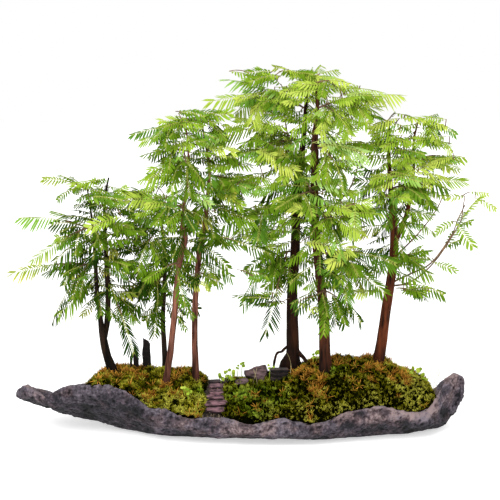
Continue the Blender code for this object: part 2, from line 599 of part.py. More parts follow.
def settle_all():
    """Bends every frond of every limb until it hangs clear of the other limbs and the stems."""
    taken = [("stem", None, tree_of(tube_guard(points))) for points in STEMS.values()]
    for name in LIMBS:
        for number, (start, tip, share, _) in enumerate(plan_twigs(name)):
            guard = tree_of(tube_guard(twig_points(start, tip, share)))
            taken.append((name, number, guard))
    settled = {}
    for count, name in enumerate(LIMBS):
        settled[name] = []
        siblings = {}
        for frond in plan_fronds(name, random.Random(100 + count)):
            number = frond[4]
            near = siblings.setdefault(number, [])
            for bend in BENDS:
                frame, length = bent(frond, bend)
                guard = tree_of(slab_guard(frame, length, GUARD))
                slim = tree_of(slab_guard(frame, length, SIBLING_GUARD))
                others = [other for owner, twig, other in taken if (owner, twig) != (name, number)]
                if not (any(meets(guard, other) for other in others)
                        or any(meets(slim, other) for other in near)):
                    taken.append((name, number, guard))
                    near.append(slim)
                    settled[name].append((frame, length, *frond[4:]))
                    break
    return settled


def ring(bm, frame, point, half_width, top, bottom):
    """Four corners round a rib or twig: left and right above, right and left below."""
    side, face = frame[2:]
    return [bm.verts.new(point + side * across * half_width + face * height)
            for across, height in ((1, top), (-1, top), (-1, bottom), (1, bottom))]


def quad(bm, one, two, three, four):
    """Two triangles, always split the same way, so that upper and lower faces stay parallel."""
    bm.faces.new((one, two, three))
    bm.faces.new((one, three, four))


def sleeve(bm, low, high, left=True, right=True):
    """Faces between two rings; an open side is where something else grows on."""
    quad(bm, low[0], high[0], high[1], low[1])
    quad(bm, low[3], high[3], high[2], low[2])
    if left:
        quad(bm, low[0], high[0], high[3], low[3])
    if right:
        quad(bm, low[1], high[1], high[2], low[2])


def leaflet(bm, low, high, upper, lower, tip):
    """A pointed leaflet between two rings, grown from their upper and lower corners."""
    bm.faces.new((low[upper], high[upper], tip))
    bm.faces.new((low[lower], high[lower], tip))
    bm.faces.new((low[upper], low[lower], tip))
    bm.faces.new((high[upper], high[lower], tip))


def grow_frond(bm, foot, frame, length):
    """An arched blade cut on both sides into leaflets down to its rib, grown from a ring."""
    pairs = max(3, round(length / LEAFLET_RUN))
    first = STALK * length
    stops = [first + (BLADE_END * length - first) * step / pairs for step in range(pairs + 1)]
    rings = [ring(bm, frame, frond_point(frame, length, stop, 0), RIB / 2, 0, -RIB) for stop in stops]
    sleeve(bm, foot, rings[0])
    for low, high, stop in zip(rings, rings[1:], stops[1:]):
        sleeve(bm, low, high, False, False)
        reach = FROND_HALF_WIDTH * length * frond_width(stop / length - STALK / 2)
        for hand, upper, lower in ((1, 0, 3), (-1, 1, 2)):
            tip = bm.verts.new(frond_point(frame, length, stop + reach * SWEEP, hand * reach, -RIB / 2))
            leaflet(bm, low, high, upper, lower, tip)
    tip = bm.verts.new(frond_point(frame, length, length, 0, -RIB / 2))
    last = rings[-1]
    for one, two in zip(last, last[1:] + last[:1]):
        bm.faces.new((one, two, tip))


def spray(twig, fronds, collection, number):
    """One tapering twig, with its fronds grown from its sides and its end, as a closed body."""
    start, tip, share, _ = twig
    reach = (tip - start).length
    stops = {0.0: {}, share: {}}
    for frame, length, _, place, hand in fronds:
        stops.setdefault(place, {})[hand] = (frame, length)
    end = stops[share].pop(0, None)
    bm = bmesh.new()
    last = None
    for stop in sorted(stops):
        half = RIB / 2 / reach
        for place in ([stop - half, stop + half] if stops[stop] else [stop]):
            point, heading = limb_path(start, tip, place)
            radius = twig_radius(place, share)
            here = ring(bm, frond_frame(point, heading, 0), point, radius, radius, -radius)
            grown = stops[stop] if place > stop else {}
            if last:
                sleeve(bm, last, here, 1 not in grown, -1 not in grown)
            else:
                quad(bm, *here)
            if 1 in grown:
                grow_frond(bm, [last[0], here[0], here[3], last[3]], *grown[1])
            if -1 in grown:
                grow_frond(bm, [here[1], last[1], last[2], here[2]], *grown[-1])
            last = here
    if end:
        grow_frond(bm, last, *end)
    else:
        quad(bm, *last)
    return new_object(f"spray_{number}", bm, collection, None)


def limb(name, fronds, collection, finish):
    """A limb: its twigs and fronds grown together at its foot."""
    sprays = [spray(twig, [frond for frond in fronds if frond[2] == number], collection, number)
              for number, twig in enumerate(plan_twigs(name))]
    sprays[0].name = "limb_" + name
    if len(sprays) > 1:
        return boolean(sprays[0], sprays[1:], "UNION", collection, finish, "MANIFOLD")
    sprays[0].data.materials.append(finish)
    return sprays[0]


def build():
    for obj in list(bpy.data.objects):
        bpy.data.objects.remove(obj)
    scene = bpy.context.scene.collection
    parts = bpy.data.collections.new("dawn_redwood_forest")
    scene.children.link(parts)
    finishes = {name: material(name) for name in COLOURS}

    tray_span = (STATIONS[0], STATIONS[-1])
    ground_layer("tray", tray_top, tray_underside, tray_span, 1.0, parts, finishes["rock"])
    soil = ground_layer("soil", ground, soil_underside, SOIL_SPAN, SOIL_ROW, parts, finishes["soil"])
    layers = {"soil": soil}
    for name, span in MOSS_SPANS.items():
        layers[name] = ground_layer(name, moss_top, moss_underside, span, SOIL_ROW, parts,
                                    finishes["moss"])

    for name, stems in TREES.items():
        trunk(name, stems, parts, finishes["bark"])
    stones = [("stepping_stone", STEPPING_STONES), ("slate", SLATES)]
    for label, places in stones:
        for number, stone in enumerate(places, 1):
            flat_stone(f"{label}_{number}", stone, number, parts, finishes["slate"])
    for number, place in enumerate(SHARDS, 1):
        shard(f"shard_{number}", place, parts, finishes["slate"])

    for name, layer in layers.items():
        cutters = [trunk("cutter_" + tree, stems, parts, None, CLEAR) for tree, stems in TREES.items()]
        cutters += [flat_stone("cutter_stone", stone, number, parts, None, CLEAR)
                    for _, places in stones for number, stone in enumerate(places, 1)]
        cutters += [shard("cutter_shard", place, parts, None, CLEAR) for place in SHARDS]
        boolean(layer, cutters, "DIFFERENCE", parts, finishes["soil" if name == "soil" else "moss"])

    for name, fronds in settle_all().items():
        limb(name, fronds, parts, finishes["frond"])


build()
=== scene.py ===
# %% [markdown]
# # A dawn redwood forest on a rock-like slab
# Seven young dawn redwoods stand in two mossy mounds on a long slab tray, with a slate path between
# them. This lesson dresses the plain solids of that planting. It never moves or resizes them: every
# new piece is made in its place, in the same frame. We begin with the solids and the box they fill.

# %% Load the solids
import json
import math
import random

import bmesh
import bpy
import numpy as np
from mathutils import Matrix, Vector, noise
from mathutils.bvhtree import BVHTree

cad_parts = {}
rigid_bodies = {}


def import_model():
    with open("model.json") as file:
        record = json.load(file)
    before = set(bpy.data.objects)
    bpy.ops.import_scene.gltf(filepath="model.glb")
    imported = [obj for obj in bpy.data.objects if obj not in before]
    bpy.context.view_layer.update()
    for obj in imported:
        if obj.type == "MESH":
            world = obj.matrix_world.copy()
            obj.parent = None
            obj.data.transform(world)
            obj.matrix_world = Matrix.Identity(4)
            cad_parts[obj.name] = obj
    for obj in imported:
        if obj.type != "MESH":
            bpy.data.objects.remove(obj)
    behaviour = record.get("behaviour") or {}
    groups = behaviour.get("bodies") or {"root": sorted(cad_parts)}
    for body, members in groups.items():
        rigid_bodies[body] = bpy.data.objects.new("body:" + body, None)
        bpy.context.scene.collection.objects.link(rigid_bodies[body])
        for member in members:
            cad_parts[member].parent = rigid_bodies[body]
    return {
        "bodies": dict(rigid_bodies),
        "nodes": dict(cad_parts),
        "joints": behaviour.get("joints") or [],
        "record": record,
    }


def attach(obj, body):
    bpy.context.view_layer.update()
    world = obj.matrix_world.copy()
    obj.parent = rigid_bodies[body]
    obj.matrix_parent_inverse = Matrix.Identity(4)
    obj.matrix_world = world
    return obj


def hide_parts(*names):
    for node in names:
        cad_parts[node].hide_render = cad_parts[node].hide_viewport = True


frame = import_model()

MM = 0.001  # the tables are in millimetres, the meshes in metres
CLEAR = 0.3  # gap that the solids keep where they touch, mm
UP = Vector((0.0, 0.0, 1.0))
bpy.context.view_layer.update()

# %% [markdown]
# ## Camera
# The planting was photographed from the front, a little above the moss, with a long lens that keeps
# the trunks nearly parallel. A camera object aims along its own -Z, so `to_track_quat` turns it to the
# middle of the planting.

# %% Camera at the front
LENS = 85.0
VIEW_DISTANCE = 1.794
VIEW_RISE = math.radians(10)
AIM = Vector((0.018, 0.0, 0.279))
TO_CAMERA = Vector((0.0, -math.cos(VIEW_RISE), math.sin(VIEW_RISE)))


def place_camera():
    camera = bpy.data.objects.new("camera", bpy.data.cameras.new("camera"))
    bpy.context.collection.objects.link(camera)
    camera.location = AIM + VIEW_DISTANCE * TO_CAMERA
    camera.rotation_euler = (-TO_CAMERA).to_track_quat("-Z", "Y").to_euler()
    camera.data.lens = LENS
    bpy.context.scene.camera = camera
    print("camera at", [round(value, 3) for value in camera.location])


place_camera()

# %% [markdown]
# ## Light and floor
# A product picture of a plant has light from all round, so that no leaf is black, and one large soft
# lamp above the front that gives the fronds and the moss their modelling. A white world does the
# first and an area lamp the second. The floor is plain, pale and large enough for every view.

# %% Studio
WORLD_STRENGTH = 1.0
# Each lamp's place, size and power
LAMPS = {"key": ((-0.9, -1.5, 1.9), 1.1, 34.0), "front": ((0.7, -2.2, 0.5), 1.6, 8.0)}
FLOOR_SIZE = 14.0
FLOOR_GLOW = 0.5  # keeps the paper white where the lamps fall off
FLOOR_DROP = 0.0006  # the floor lies this far under the tray, so the two don't flicker


def light_studio():
    world = bpy.data.worlds.new("studio")
    world.use_nodes = True
    sky = world.node_tree.nodes["Background"]
    sky.inputs["Color"].default_value = (1.0, 1.0, 1.0, 1.0)
    sky.inputs["Strength"].default_value = WORLD_STRENGTH
    bpy.context.scene.world = world
    bpy.context.scene.view_settings.view_transform = "Standard"
    for name, (place, size, power) in LAMPS.items():
        lamp = bpy.data.lights.new(name, "AREA")
        lamp.size = size
        lamp.energy = power
        stand = bpy.data.objects.new(name, lamp)
        stand.location = place
        stand.rotation_euler = (AIM - Vector(place)).to_track_quat("-Z", "Y").to_euler()
        bpy.context.collection.objects.link(stand)


def lay_floor():
    bm = bmesh.new()
    bmesh.ops.create_grid(bm, x_segments=1, y_segments=1, size=FLOOR_SIZE / 2)
    bmesh.ops.translate(bm, vec=(0, 0, -FLOOR_DROP), verts=bm.verts)
    mesh = bpy.data.meshes.new("floor")
    bm.to_mesh(mesh)
    bm.free()
    paper = bpy.data.materials.new("floor_paper")
    paper.use_nodes = True
    skin = paper.node_tree.nodes["Principled BSDF"]
    for name, value in {"Base Color": (0.9, 0.9, 0.9, 1), "Roughness": 0.9,
                        "Emission Color": (1, 1, 1, 1), "Emission Strength": FLOOR_GLOW}.items():
        skin.inputs[name].default_value = value
    mesh.materials.append(paper)
    floor = bpy.data.objects.new("floor", mesh)
    bpy.context.collection.objects.link(floor)


light_studio()
lay_floor()

# %% [markdown]
# ## A small kit for materials
# Every finish here is a Principled shader whose colour comes from a few procedural nodes. Wiring
# nodes by hand takes many lines, so one helper adds a node with its settings and its plugs, and
# others make the usual steps: a noise in the object's own coordinates, a colour ramp, a mix, a bump.

# %% Material helpers
def new_material(name, roughness, specular=0.5):
    made = bpy.data.materials.new(name)
    made.use_nodes = True
    skin = made.node_tree.nodes["Principled BSDF"]
    skin.inputs["Roughness"].default_value = roughness
    skin.inputs["Specular IOR Level"].default_value = specular
    return made, made.node_tree, skin


def add_node(tree, kind, plugs, **settings):
    """A node with its settings; a plug is a value or another node's output."""
    made = tree.nodes.new("ShaderNode" + kind)
    for name, value in settings.items():
        setattr(made, name, value)
    for name, value in plugs.items():
        if isinstance(value, bpy.types.NodeSocket):
            tree.links.new(value, made.inputs[name])
        else:
            made.inputs[name].default_value = value
    return made


def grain(tree, size, detail=4.0, stretch=(1, 1, 1)):
    """A noise whose lumps measure size millimetres, stretched along the axes."""
    place = add_node(tree, "TexCoord", {}).outputs["Object"]
    scaled = add_node(tree, "Mapping", {"Vector": place, "Scale": [1 / value for value in stretch]})
    plugs = {"Vector": scaled.outputs["Vector"], "Scale": 1 / (size * MM), "Detail": detail}
    return add_node(tree, "TexNoise", plugs).outputs["Fac"]


def ramp(tree, factor, stops):
    made = add_node(tree, "ValToRGB", {"Fac": factor})
    points = made.color_ramp.elements
    while len(points) < len(stops):
        points.new(0.5)
    for point, (place, colour) in zip(points, stops):
        point.position = place
        point.color = (*colour, 1.0)
    return made.outputs["Color"]


def blend(tree, factor, low, high, how="MIX"):
    """Two colours mixed; a Mix node's sockets for colours are known by their numbers."""
    low, high = [(*value, 1.0) if isinstance(value, tuple) else value for value in (low, high)]
    plugs = {0: factor, 6: low, 7: high}
    return add_node(tree, "Mix", plugs, data_type="RGBA", blend_type=how).outputs[2]


def times(tree, value, factor):
    """A product, kept between 0 and 1."""
    return add_node(tree, "Math", {0: value, 1: factor}, operation="MULTIPLY", use_clamp=True).outputs[0]


def total(tree, value, *others, less=None):
    """A sum, of which what is left after less is taken away stays between 0 and 1."""
    for other in others:
        value = add_node(tree, "Math", {0: value, 1: other}, operation="ADD").outputs[0]
    if less is None:
        return value
    return add_node(tree, "Math", {0: value, 1: less}, operation="SUBTRACT", use_clamp=True).outputs[0]


def roughen(tree, skin, height, millimetres):
    plugs = {"Height": height, "Distance": millimetres * MM, "Strength": 1.0}
    tree.links.new(add_node(tree, "Bump", plugs).outputs["Normal"], skin.inputs["Normal"])


def attribute(tree, name):
    """The four numbers that a mesh carries at each point under one name."""
    read = add_node(tree, "Attribute", {}, attribute_name=name)
    parts = add_node(tree, "SeparateColor", {"Color": read.outputs["Color"]})
    return [*parts.outputs, read.outputs["Alpha"]]


# %% [markdown]
# ## A small kit for pieces
# Leaves and moss repeat by the thousand. Copying inside one bmesh gets slow, so a shape is modelled
# once with bmesh operators, read out as arrays, and laid down many times with numpy. A heap gathers
# those copies, with four numbers at each point that the materials read, and becomes one mesh.

# %% Piece helpers
class Heap:
    """Many small shapes gathered into one mesh."""

    def __init__(self):
        self.points, self.triangles, self.marks, self.slots = [], [], [], []
        self.size = 0

    def add(self, points, triangles, marks, slot=0):
        """Lays down points (mm), their triangles and four marks for each point."""
        points = np.asarray(points, float).reshape(-1, 3)
        self.points.append(points)
        self.triangles.append(np.asarray(triangles) + self.size)
        self.marks.append(np.broadcast_to(marks, (len(points), 4)))
        self.slots.append(np.full(len(triangles), slot))
        self.size += len(points)

    def mesh(self, name):
        points = np.concatenate(self.points) * MM
        mesh = bpy.data.meshes.new(name)
        mesh.from_pydata(points.tolist(), [], np.concatenate(self.triangles).tolist())
        mesh.polygons.foreach_set("material_index", np.concatenate(self.slots).astype(np.int32))
        marks = mesh.attributes.new("marks", "FLOAT_COLOR", "POINT")
        marks.data.foreach_set("color", np.concatenate(self.marks).astype(np.float32).ravel())
        return mesh


def read_mesh(mesh):
    """Points and triangles of a mesh as arrays."""
    mesh.calc_loop_triangles()
    points = np.array([vert.co for vert in mesh.vertices], float)
    return points, np.array([triangle.vertices for triangle in mesh.loop_triangles])


def outward_mesh(bm, name):
    """A bmesh as a mesh with its faces turned outward."""
    bmesh.ops.recalc_face_normals(bm, faces=bm.faces)
    mesh = bpy.data.meshes.new(name)
    bm.to_mesh(mesh)
    bm.free()
    return mesh


def read_bmesh(bm):
    """Points and triangles of a bmesh, which is freed."""
    mesh = outward_mesh(bm, "shape")
    shape = read_mesh(mesh)
    bpy.data.meshes.remove(mesh)
    return shape


def extruded(bm, faces):
    """Extrudes faces, and gives the new points and the new faces."""
    made = bmesh.ops.extrude_face_region(bm, geom=faces)["geom"]
    return [[part for part in made if isinstance(part, kind)]
            for kind in (bmesh.types.BMVert, bmesh.types.BMFace)]


def clamped(value):
    return min(1.0, max(0.0, value))


def evaluated(obj):
    """Takes a helper object out of the scene and leaves its finished mesh."""
    bpy.context.collection.objects.link(obj)
    mesh = bpy.data.meshes.new_from_object(obj.evaluated_get(bpy.context.evaluated_depsgraph_get()))
    bpy.data.objects.remove(obj)
    return mesh


def dress(name, heap, finishes, slot, *nodes, smooth=False):
    """Puts a heap on the planting's one body as a piece, in place of the solids it stands for."""
    mesh = heap.mesh(name)
    piece = bpy.data.objects.new(name, mesh)
    bpy.context.collection.objects.link(piece)
    for finish in finishes:
        mesh.materials.append(finish)
    if smooth:
        mesh.shade_smooth()
    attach(piece, "root")
    if nodes:
        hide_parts(*nodes)
    mesh.calc_loop_triangles()
    print(name, len(mesh.loop_triangles), "triangles")
    return piece


# %% [markdown]
# ## The slab
# The tray looks like a split and weathered rock: a rounded tongue at the left, a long low lip in
# front and a horn at the right. Its solid is a layer between two surfaces, told by short tables along
# its length. The same tables make a much finer layer here, which a voxel remesh turns into an even
# skin, and that skin takes the lumps, hollows and pits that a coarse solid has to leave out.

# %% Tables along the slab
FRONT_EDGE = [
    (-345, -6), (-330, -26), (-300, -46), (-268, -60), (-205, -76), (-147, -86), (-60, -97), (20, -100),
    (110, -98), (180, -91), (253, -78), (287, -62), (308, -36), (336, -8), (350, -2),
]
FRONT_RIM = [
    (-345, 57), (-330, 73), (-308, 68), (-290, 62), (-276, 76), (-262, 81), (-247, 84), (-225, 86),
    (-205, 88), (-186, 86), (-165, 80), (-147, 68), (-133, 56), (-108, 55), (-85, 45), (-60, 42), (-37, 45),
    (-12, 41), (21, 34), (64, 42), (86, 39), (107, 32), (130, 36), (155, 48), (180, 55), (216, 57),
    (253, 46), (273, 42), (287, 46), (297, 56), (308, 69), (320, 83), (336, 86), (350, 78),
]
BACK_EDGE = [
    (-345, 14), (-305, 44), (-247, 70), (-186, 90), (-92, 108), (21, 115), (130, 110), (205, 98), (253, 80),
    (287, 58), (308, 38), (336, 24), (350, 14),
]
BACK_RIM = [
    (-345, 50), (-330, 55), (-308, 46), (-290, 38), (-276, 44), (-247, 48), (-225, 51), (-186, 56),
    (-133, 46), (-73, 44), (-20, 40), (4, 42), (64, 50), (107, 42), (180, 52), (253, 48), (287, 50),
    (308, 49), (320, 59), (336, 74), (350, 72),
]
FLOOR = [
    (-345, 55), (-330, 65), (-308, 54), (-290, 46), (-276, 56), (-247, 62), (-225, 60), (-205, 48),
    (-165, 20), (-110, 14), (250, 14), (280, 22), (297, 36), (308, 54), (320, 74), (336, 82), (350, 77),
]
KEEL = [
    (-345, 48), (-330, 41), (-308, 32), (-268, 21), (-225, 10), (-190, 0), (310, 0), (320, 3), (336, 17),
    (350, 48),
]
LIP_UNDERSIDE = [
    (-345, 50), (-330, 58), (-308, 58), (-290, 52), (-247, 66), (-205, 73), (-165, 62), (-133, 40),
    (-60, 27), (20, 20), (107, 18), (155, 30), (216, 40), (253, 30), (287, 24), (308, 16), (320, 16),
    (336, 30), (350, 58),
]
FOOT_HALF_DEPTH = [(-190, 0), (-150, 26), (-110, 44), (130, 60), (200, 46), (260, 30), (310, 0)]
LIP_SHARE = 0.92  # past this share of the half depth the slab's top is its rim
BOWL_POWER = 2.2  # how late the inside climbs to the rim
HULL_POWER = 1.7  # the same for the underside
ROCK_RELIEF = 2.6  # height of the lumps in the slab's faces
ROCK_LUMP = 0.035  # lumps per millimetre


def along(table, x):
    """Value of a table at x, on straight runs between its points."""
    if x <= table[0][0]:
        return table[0][1]
    for (x0, v0), (x1, v1) in zip(table, table[1:]):
        if x <= x1:
            return v0 + (v1 - v0) * (x - x0) / (x1 - x0)
    return table[-1][1]


def rock_lumps(x, y, side):
    return ROCK_RELIEF * noise.noise(Vector((x, y, side * 400.0)) * ROCK_LUMP)


def depth_share(x, y):
    """How far y lies out towards the slab's edge, from 0 to 1, and that edge's y."""
    edge = along(FRONT_EDGE if y < 0 else BACK_EDGE, x)
    return y / edge, abs(edge)


def tray_top(x, y):
    share, _ = depth_share(x, y)
    rim = along(FRONT_RIM if y < 0 else BACK_RIM, x)
    climb = min(1.0, share / LIP_SHARE) ** BOWL_POWER
    return along(FLOOR, x) * (1.0 - climb) + rim * climb + rock_lumps(x, y, 1)


def tray_underside(x, y):
    share, edge = depth_share(x, y)
    foot = along(FOOT_HALF_DEPTH, x)
    climb = max(0.0, (share * edge - foot) / (edge - foot))
    lip = min(along(LIP_UNDERSIDE, x), along(FRONT_RIM if y < 0 else BACK_RIM, x) - 9)
    keel = along(KEEL, x)
    lumps = rock_lumps(x, y, -1) * min(1.0, climb * 3 + keel / 10)
    return keel + (lip - keel) * climb ** HULL_POWER + lumps


# %% Fine skin of the slab
SLAB_COLUMNS, SLAB_ROWS = 240, 64
SKIN_CELL = 2.1  # size of the remeshed skin's cells
CALM_FOOT = 7.0  # the relief fades out over so much height above the flat foot
SKIN_SMOOTHINGS = 3  # rounds that smooth the cells' steps away
# Relief as (size of a lump, height, how much the lumps are creased)
SLAB_RELIEF = [(40.0, 2.0, 0.0), (20.0, 3.0, 0.7), (9.5, 1.5, 0.4), (4.6, 1.1, 0.2)]
RELIEF_SPAN = 8.0  # relief between the darkest hollow and the palest ridge
PIT_SIZE, PIT_DEPTH = 5.0, 2.4
PIT_START, PIT_STEEPNESS = 0.22, 3.5  # a pit begins past this noise, and how steeply it goes down
TONGUE_NOTCH = (-290, 4.0, 2.5)  # x, half width and depth of the groove behind the tongue


def layer_mesh(name, columns, rows, low, high, share_end, top, underside):
    """A closed layer between two surfaces on a grid that follows the slab's outline."""
    bm = bmesh.new()
    bmesh.ops.create_grid(bm, x_segments=columns, y_segments=rows, size=1)
    for vert in bm.verts:
        x = low + (high - low) * (vert.co.x + 1) / 2
        share = vert.co.y * share_end
        edge = along(BACK_EDGE, x) if share > 0 else -along(FRONT_EDGE, x)
        vert.co = (x, share * edge, 0)
    lower = bm.verts[:]
    upper, _ = extruded(bm, bm.faces[:])
    for vert in lower:
        vert.co.z = underside(vert.co.x, vert.co.y)
    for vert in upper:
        vert.co.z = top(vert.co.x, vert.co.y)
    return outward_mesh(bm, name)


# Pale and dark places as (x, z, half width, half height, how pale)
SHADES = [
    (-300, 64, 38, 18, 0.12), (-252, 52, 30, 22, -0.07), (-205, 44, 34, 26, -0.06),
    (-120, 34, 34, 24, 0.06), (-20, 28, 34, 20, 0.16), (70, 30, 50, 22, 0.07), (150, 40, 34, 24, 0.10),
    (225, 44, 44, 20, 0.24), (280, 46, 20, 16, 0.46), (322, 62, 22, 30, 0.07), (330, 80, 12, 9, 0.14),
    (262, 22, 60, 10, -0.08), (-18, 40, 14, 8, -0.08), (185, 48, 18, 6, -0.10),
]


def slab_shade(place):
    """How much paler the rock is at a place."""
    return sum(pale * math.exp(-((place.x - x) / across) ** 2 - ((place.z - z) / high) ** 2)
               for x, z, across, high, pale in SHADES)


def slab_relief(place):
    """How far the weathered rock stands out (mm) at a place: creased lumps, less pits and a notch."""
    lumps = 0.0
    for number, (size, height, crease) in enumerate(SLAB_RELIEF):
        lump = noise.noise(place / size + Vector((0, 0, 31.0 * number)))
        creased = 0.5 - 2.0 * abs(lump)
        lumps += height * ((1 - crease) * lump + crease * creased)
    pit = max(0.0, noise.noise(place / PIT_SIZE + Vector((7, 3, 90))) - PIT_START)
    notch_x, half_width, depth = TONGUE_NOTCH
    groove = depth * math.exp(-((place.x - notch_x) / half_width) ** 2)
    return lumps - PIT_DEPTH * min(1.0, pit * PIT_STEEPNESS) - groove


def weathered_slab():
    """The slab's even skin. Its marks are the relief, how far it faces up, and its own shade."""
    low, high = FRONT_EDGE[0][0], FRONT_EDGE[-1][0]
    mesh = layer_mesh("slab", SLAB_COLUMNS, SLAB_ROWS, low, high, 1.0, tray_top, tray_underside)
    obj = bpy.data.objects.new("slab", mesh)
    skin = obj.modifiers.new("skin", "REMESH")
    skin.mode = "VOXEL"
    skin.voxel_size = SKIN_CELL
    obj.modifiers.new("rounded", "SMOOTH").iterations = SKIN_SMOOTHINGS
    mesh = evaluated(obj)
    points, triangles = read_mesh(mesh)
    marks = np.zeros((len(points), 4))
    for vert in mesh.vertices:
        relief = slab_relief(vert.co)
        calm = clamped(vert.co.z / CALM_FOOT) if vert.normal.z < 0 else 1.0
        moved = vert.co + vert.normal * relief * calm
        points[vert.index] = (moved.x, moved.y, max(0.0, moved.z))
        # The first two marks are read as painted shade in the hollows and painted light on faces that turn
        # up.
        marks[vert.index] = (0.5 + relief / RELIEF_SPAN, 0.5 + 0.5 * vert.normal.z,
                             0.5 + slab_shade(vert.co), 1)
    heap = Heap()
    heap.add(points, triangles, marks)
    return heap


# %% [markdown]
# The rock is near black in its hollows, bluish grey on its ridges and of a warmer, paler grey where it
# is worn along the front. The relief that shaped the skin also picks the colour, so light and dark
# follow the form: the dark hollows are painted shade, and faces that turn up are painted paler and
# those that turn down darker, as light from above would make them.

# %% Rock finish
def rock_finish():
    made, tree, skin = new_material("weathered_rock", 0.82, 0.25)
    relief, facing, shade, _ = attribute(tree, "marks")
    mottled = times(tree, grain(tree, 3.2, 8), 0.9)
    # Painted shade and light: low relief darkens the hollows, faces that turn up are paler and those that
    # turn down darker.
    form = total(tree, times(tree, relief, 0.8), mottled, less=0.55)
    tone = total(tree, form, times(tree, facing, 0.36), shade, less=0.5)
    blue = ramp(tree, tone, [(0.12, (0.003, 0.003, 0.004)), (0.34, (0.019, 0.0160, 0.021)),
                             (0.55, (0.056, 0.045, 0.057)), (0.84, (0.165, 0.140, 0.165))])
    tan = ramp(tree, tone, [(0.14, (0.006, 0.004, 0.005)), (0.36, (0.030, 0.020, 0.023)),
                            (0.55, (0.085, 0.057, 0.062)), (0.84, (0.26, 0.19, 0.19))])
    patches = total(tree, times(tree, shade, 1.5), times(tree, grain(tree, 26, 5), 1.2), less=0.85)
    rubbed = ramp(tree, patches, [(0.5, (0, 0, 0)), (0.72, (1, 1, 1))])
    tree.links.new(blend(tree, rubbed, blue, tan), skin.inputs["Base Color"])
    roughen(tree, skin, grain(tree, 2.4, 10), 1.6)
    return made


dress("tray_rock", weathered_slab(), [rock_finish()], "rock", "tray", smooth=True)

# %% [markdown]
# ## Soil and moss
# The gritty soil is heaped in two mounds and stays as the solid gives it, because it hardly shows.
# The moss over it is what the eye reads: a soft lumpy carpet that thins out at the rock and at the
# path. A carpet mesh gives the form, and thousands of little shoots give the nap.

# %% Ground under the moss
MOSS_SPANS = {"moss_left": (-225, -54), "moss_right": (-20, 297)}
SOIL_ROW = 0.78  # soil and moss end at this share of the half depth
CREST = [
    (-225, 66), (-212, 76), (-205, 79), (-165, 79), (-112, 76), (-73, 75), (-54, 64), (-37, 62), (-20, 58),
    (4, 59), (30, 60), (64, 66), (86, 76), (107, 86), (130, 92), (155, 97), (205, 96), (230, 94), (253, 82),
    (273, 74), (297, 60),
]
CREST_Y = 28
PROP = (34, 46, 12.0, 12.0)  # x, y, height and spread of the hump that the big slate leans on
MOUND_POWER = 0.8
MOSS_DEPTH = 6.5


def ground(x, y):
    """Soil surface: a ridge along CREST that falls to the rims in front and behind."""
    edge_y = along(FRONT_EDGE if y < CREST_Y else BACK_EDGE, x) * SOIL_ROW
    edge_z = along(FRONT_RIM if y < CREST_Y else BACK_RIM, x) - 4
    share = clamped((y - edge_y) / (CREST_Y - edge_y))
    ridge = edge_z + (along(CREST, x) - edge_z) * math.sin(math.pi / 2 * share) ** MOUND_POWER
    prop_x, prop_y, height, spread = PROP
    away = ((x - prop_x) ** 2 + (y - prop_y) ** 2) / spread ** 2
    return max(ridge + height * math.exp(-away), tray_top(x, y) + 3)


def soil_finish():
    made, tree, skin = new_material("gritty_soil", 0.95)
    # The soil is near black, partly its own colour and partly painted shade for the gaps between the
    # slates.
    crumbs = ramp(tree, grain(tree, 2.4, 6), [(0.38, (0.006, 0.004, 0.003)), (0.58, (0.030, 0.020, 0.013)),
                                             (0.72, (0.12, 0.085, 0.05))])
    tree.links.new(crumbs, skin.inputs["Base Color"])
    roughen(tree, skin, grain(tree, 2.4, 6), 2.0)
    return made


soil = frame["nodes"]["soil"]
soil.material_slots[0].material = soil_finish()
print("soil keeps its solid,", len(soil.data.polygons), "faces")

# %% [markdown]
# The carpet follows the ground at the moss's depth. It swells into cushions, and along its edges it
# dives into the ground by a wavy line, so that no straight border shows.

# %% Moss carpet
CARPET_CELL = 3.2  # size of the carpet's cells
CARPET_END = 0.87  # share of the slab's half depth where the carpet ends
CARPET_FADE = 0.10  # and over how much of it the carpet thins out
SIDE_FADE = 9.0  # the same towards the path and the slab's ends, mm
WAVE = 0.045  # how wavy the edge is
WAVE_SIZE = 1 / 0.06  # and how long its waves are
CARPET_SHARE = 0.93  # the mesh goes on under the ground to this share
CARPET_DEPTH = 190  # about its depth from front to back, which gives its number of rows
CUSHIONS = [(34.0, 4.5), (13.0, 2.2), (6.0, 0.9)]  # size and height of the swellings
DIVE = 3.0  # how deep the edge goes under


def carpet_fade(side, x, y):
    """1 on the mound and 0 past the carpet's wavy edge."""
    share, _ = depth_share(x, y)
    wave = noise.noise(Vector((x, y, 5.0)) / WAVE_SIZE)
    rim = (CARPET_END + WAVE * wave - abs(share)) / CARPET_FADE
    low, high = MOSS_SPANS[side]
    ends = (min(x - low, high - x) + 5.0 + 6.0 * wave) / SIDE_FADE
    return max(0.0, min(1.0, rim, ends))


def carpet_top(side, x, y):
    fade = carpet_fade(side, x, y)
    swell = sum(height * noise.noise(Vector((x, y, size)) / size) for size, height in CUSHIONS)
    return ground(x, y) - DIVE + (MOSS_DEPTH + DIVE + swell) * math.sqrt(fade)


def carpet(side):
    """Points, triangles and marks of one mound's carpet."""
    low, high = MOSS_SPANS[side]
    columns, rows = round((high - low + 12) / CARPET_CELL), round(CARPET_DEPTH / CARPET_CELL)
    mesh = layer_mesh("carpet", columns, rows, low - 6, high + 6, CARPET_SHARE,
                      lambda x, y: carpet_top(side, x, y), lambda x, y: ground(x, y) - DIVE - 1.5)
    points, triangles = read_mesh(mesh)
    # The carpet's second mark is 0, so it takes the moss's full painted shade.
    marks = [(0.15 + 0.2 * noise.noise(Vector(point) / 9.0), 0.0, 0.5, 0.0) for point in points]
    return points, triangles, marks


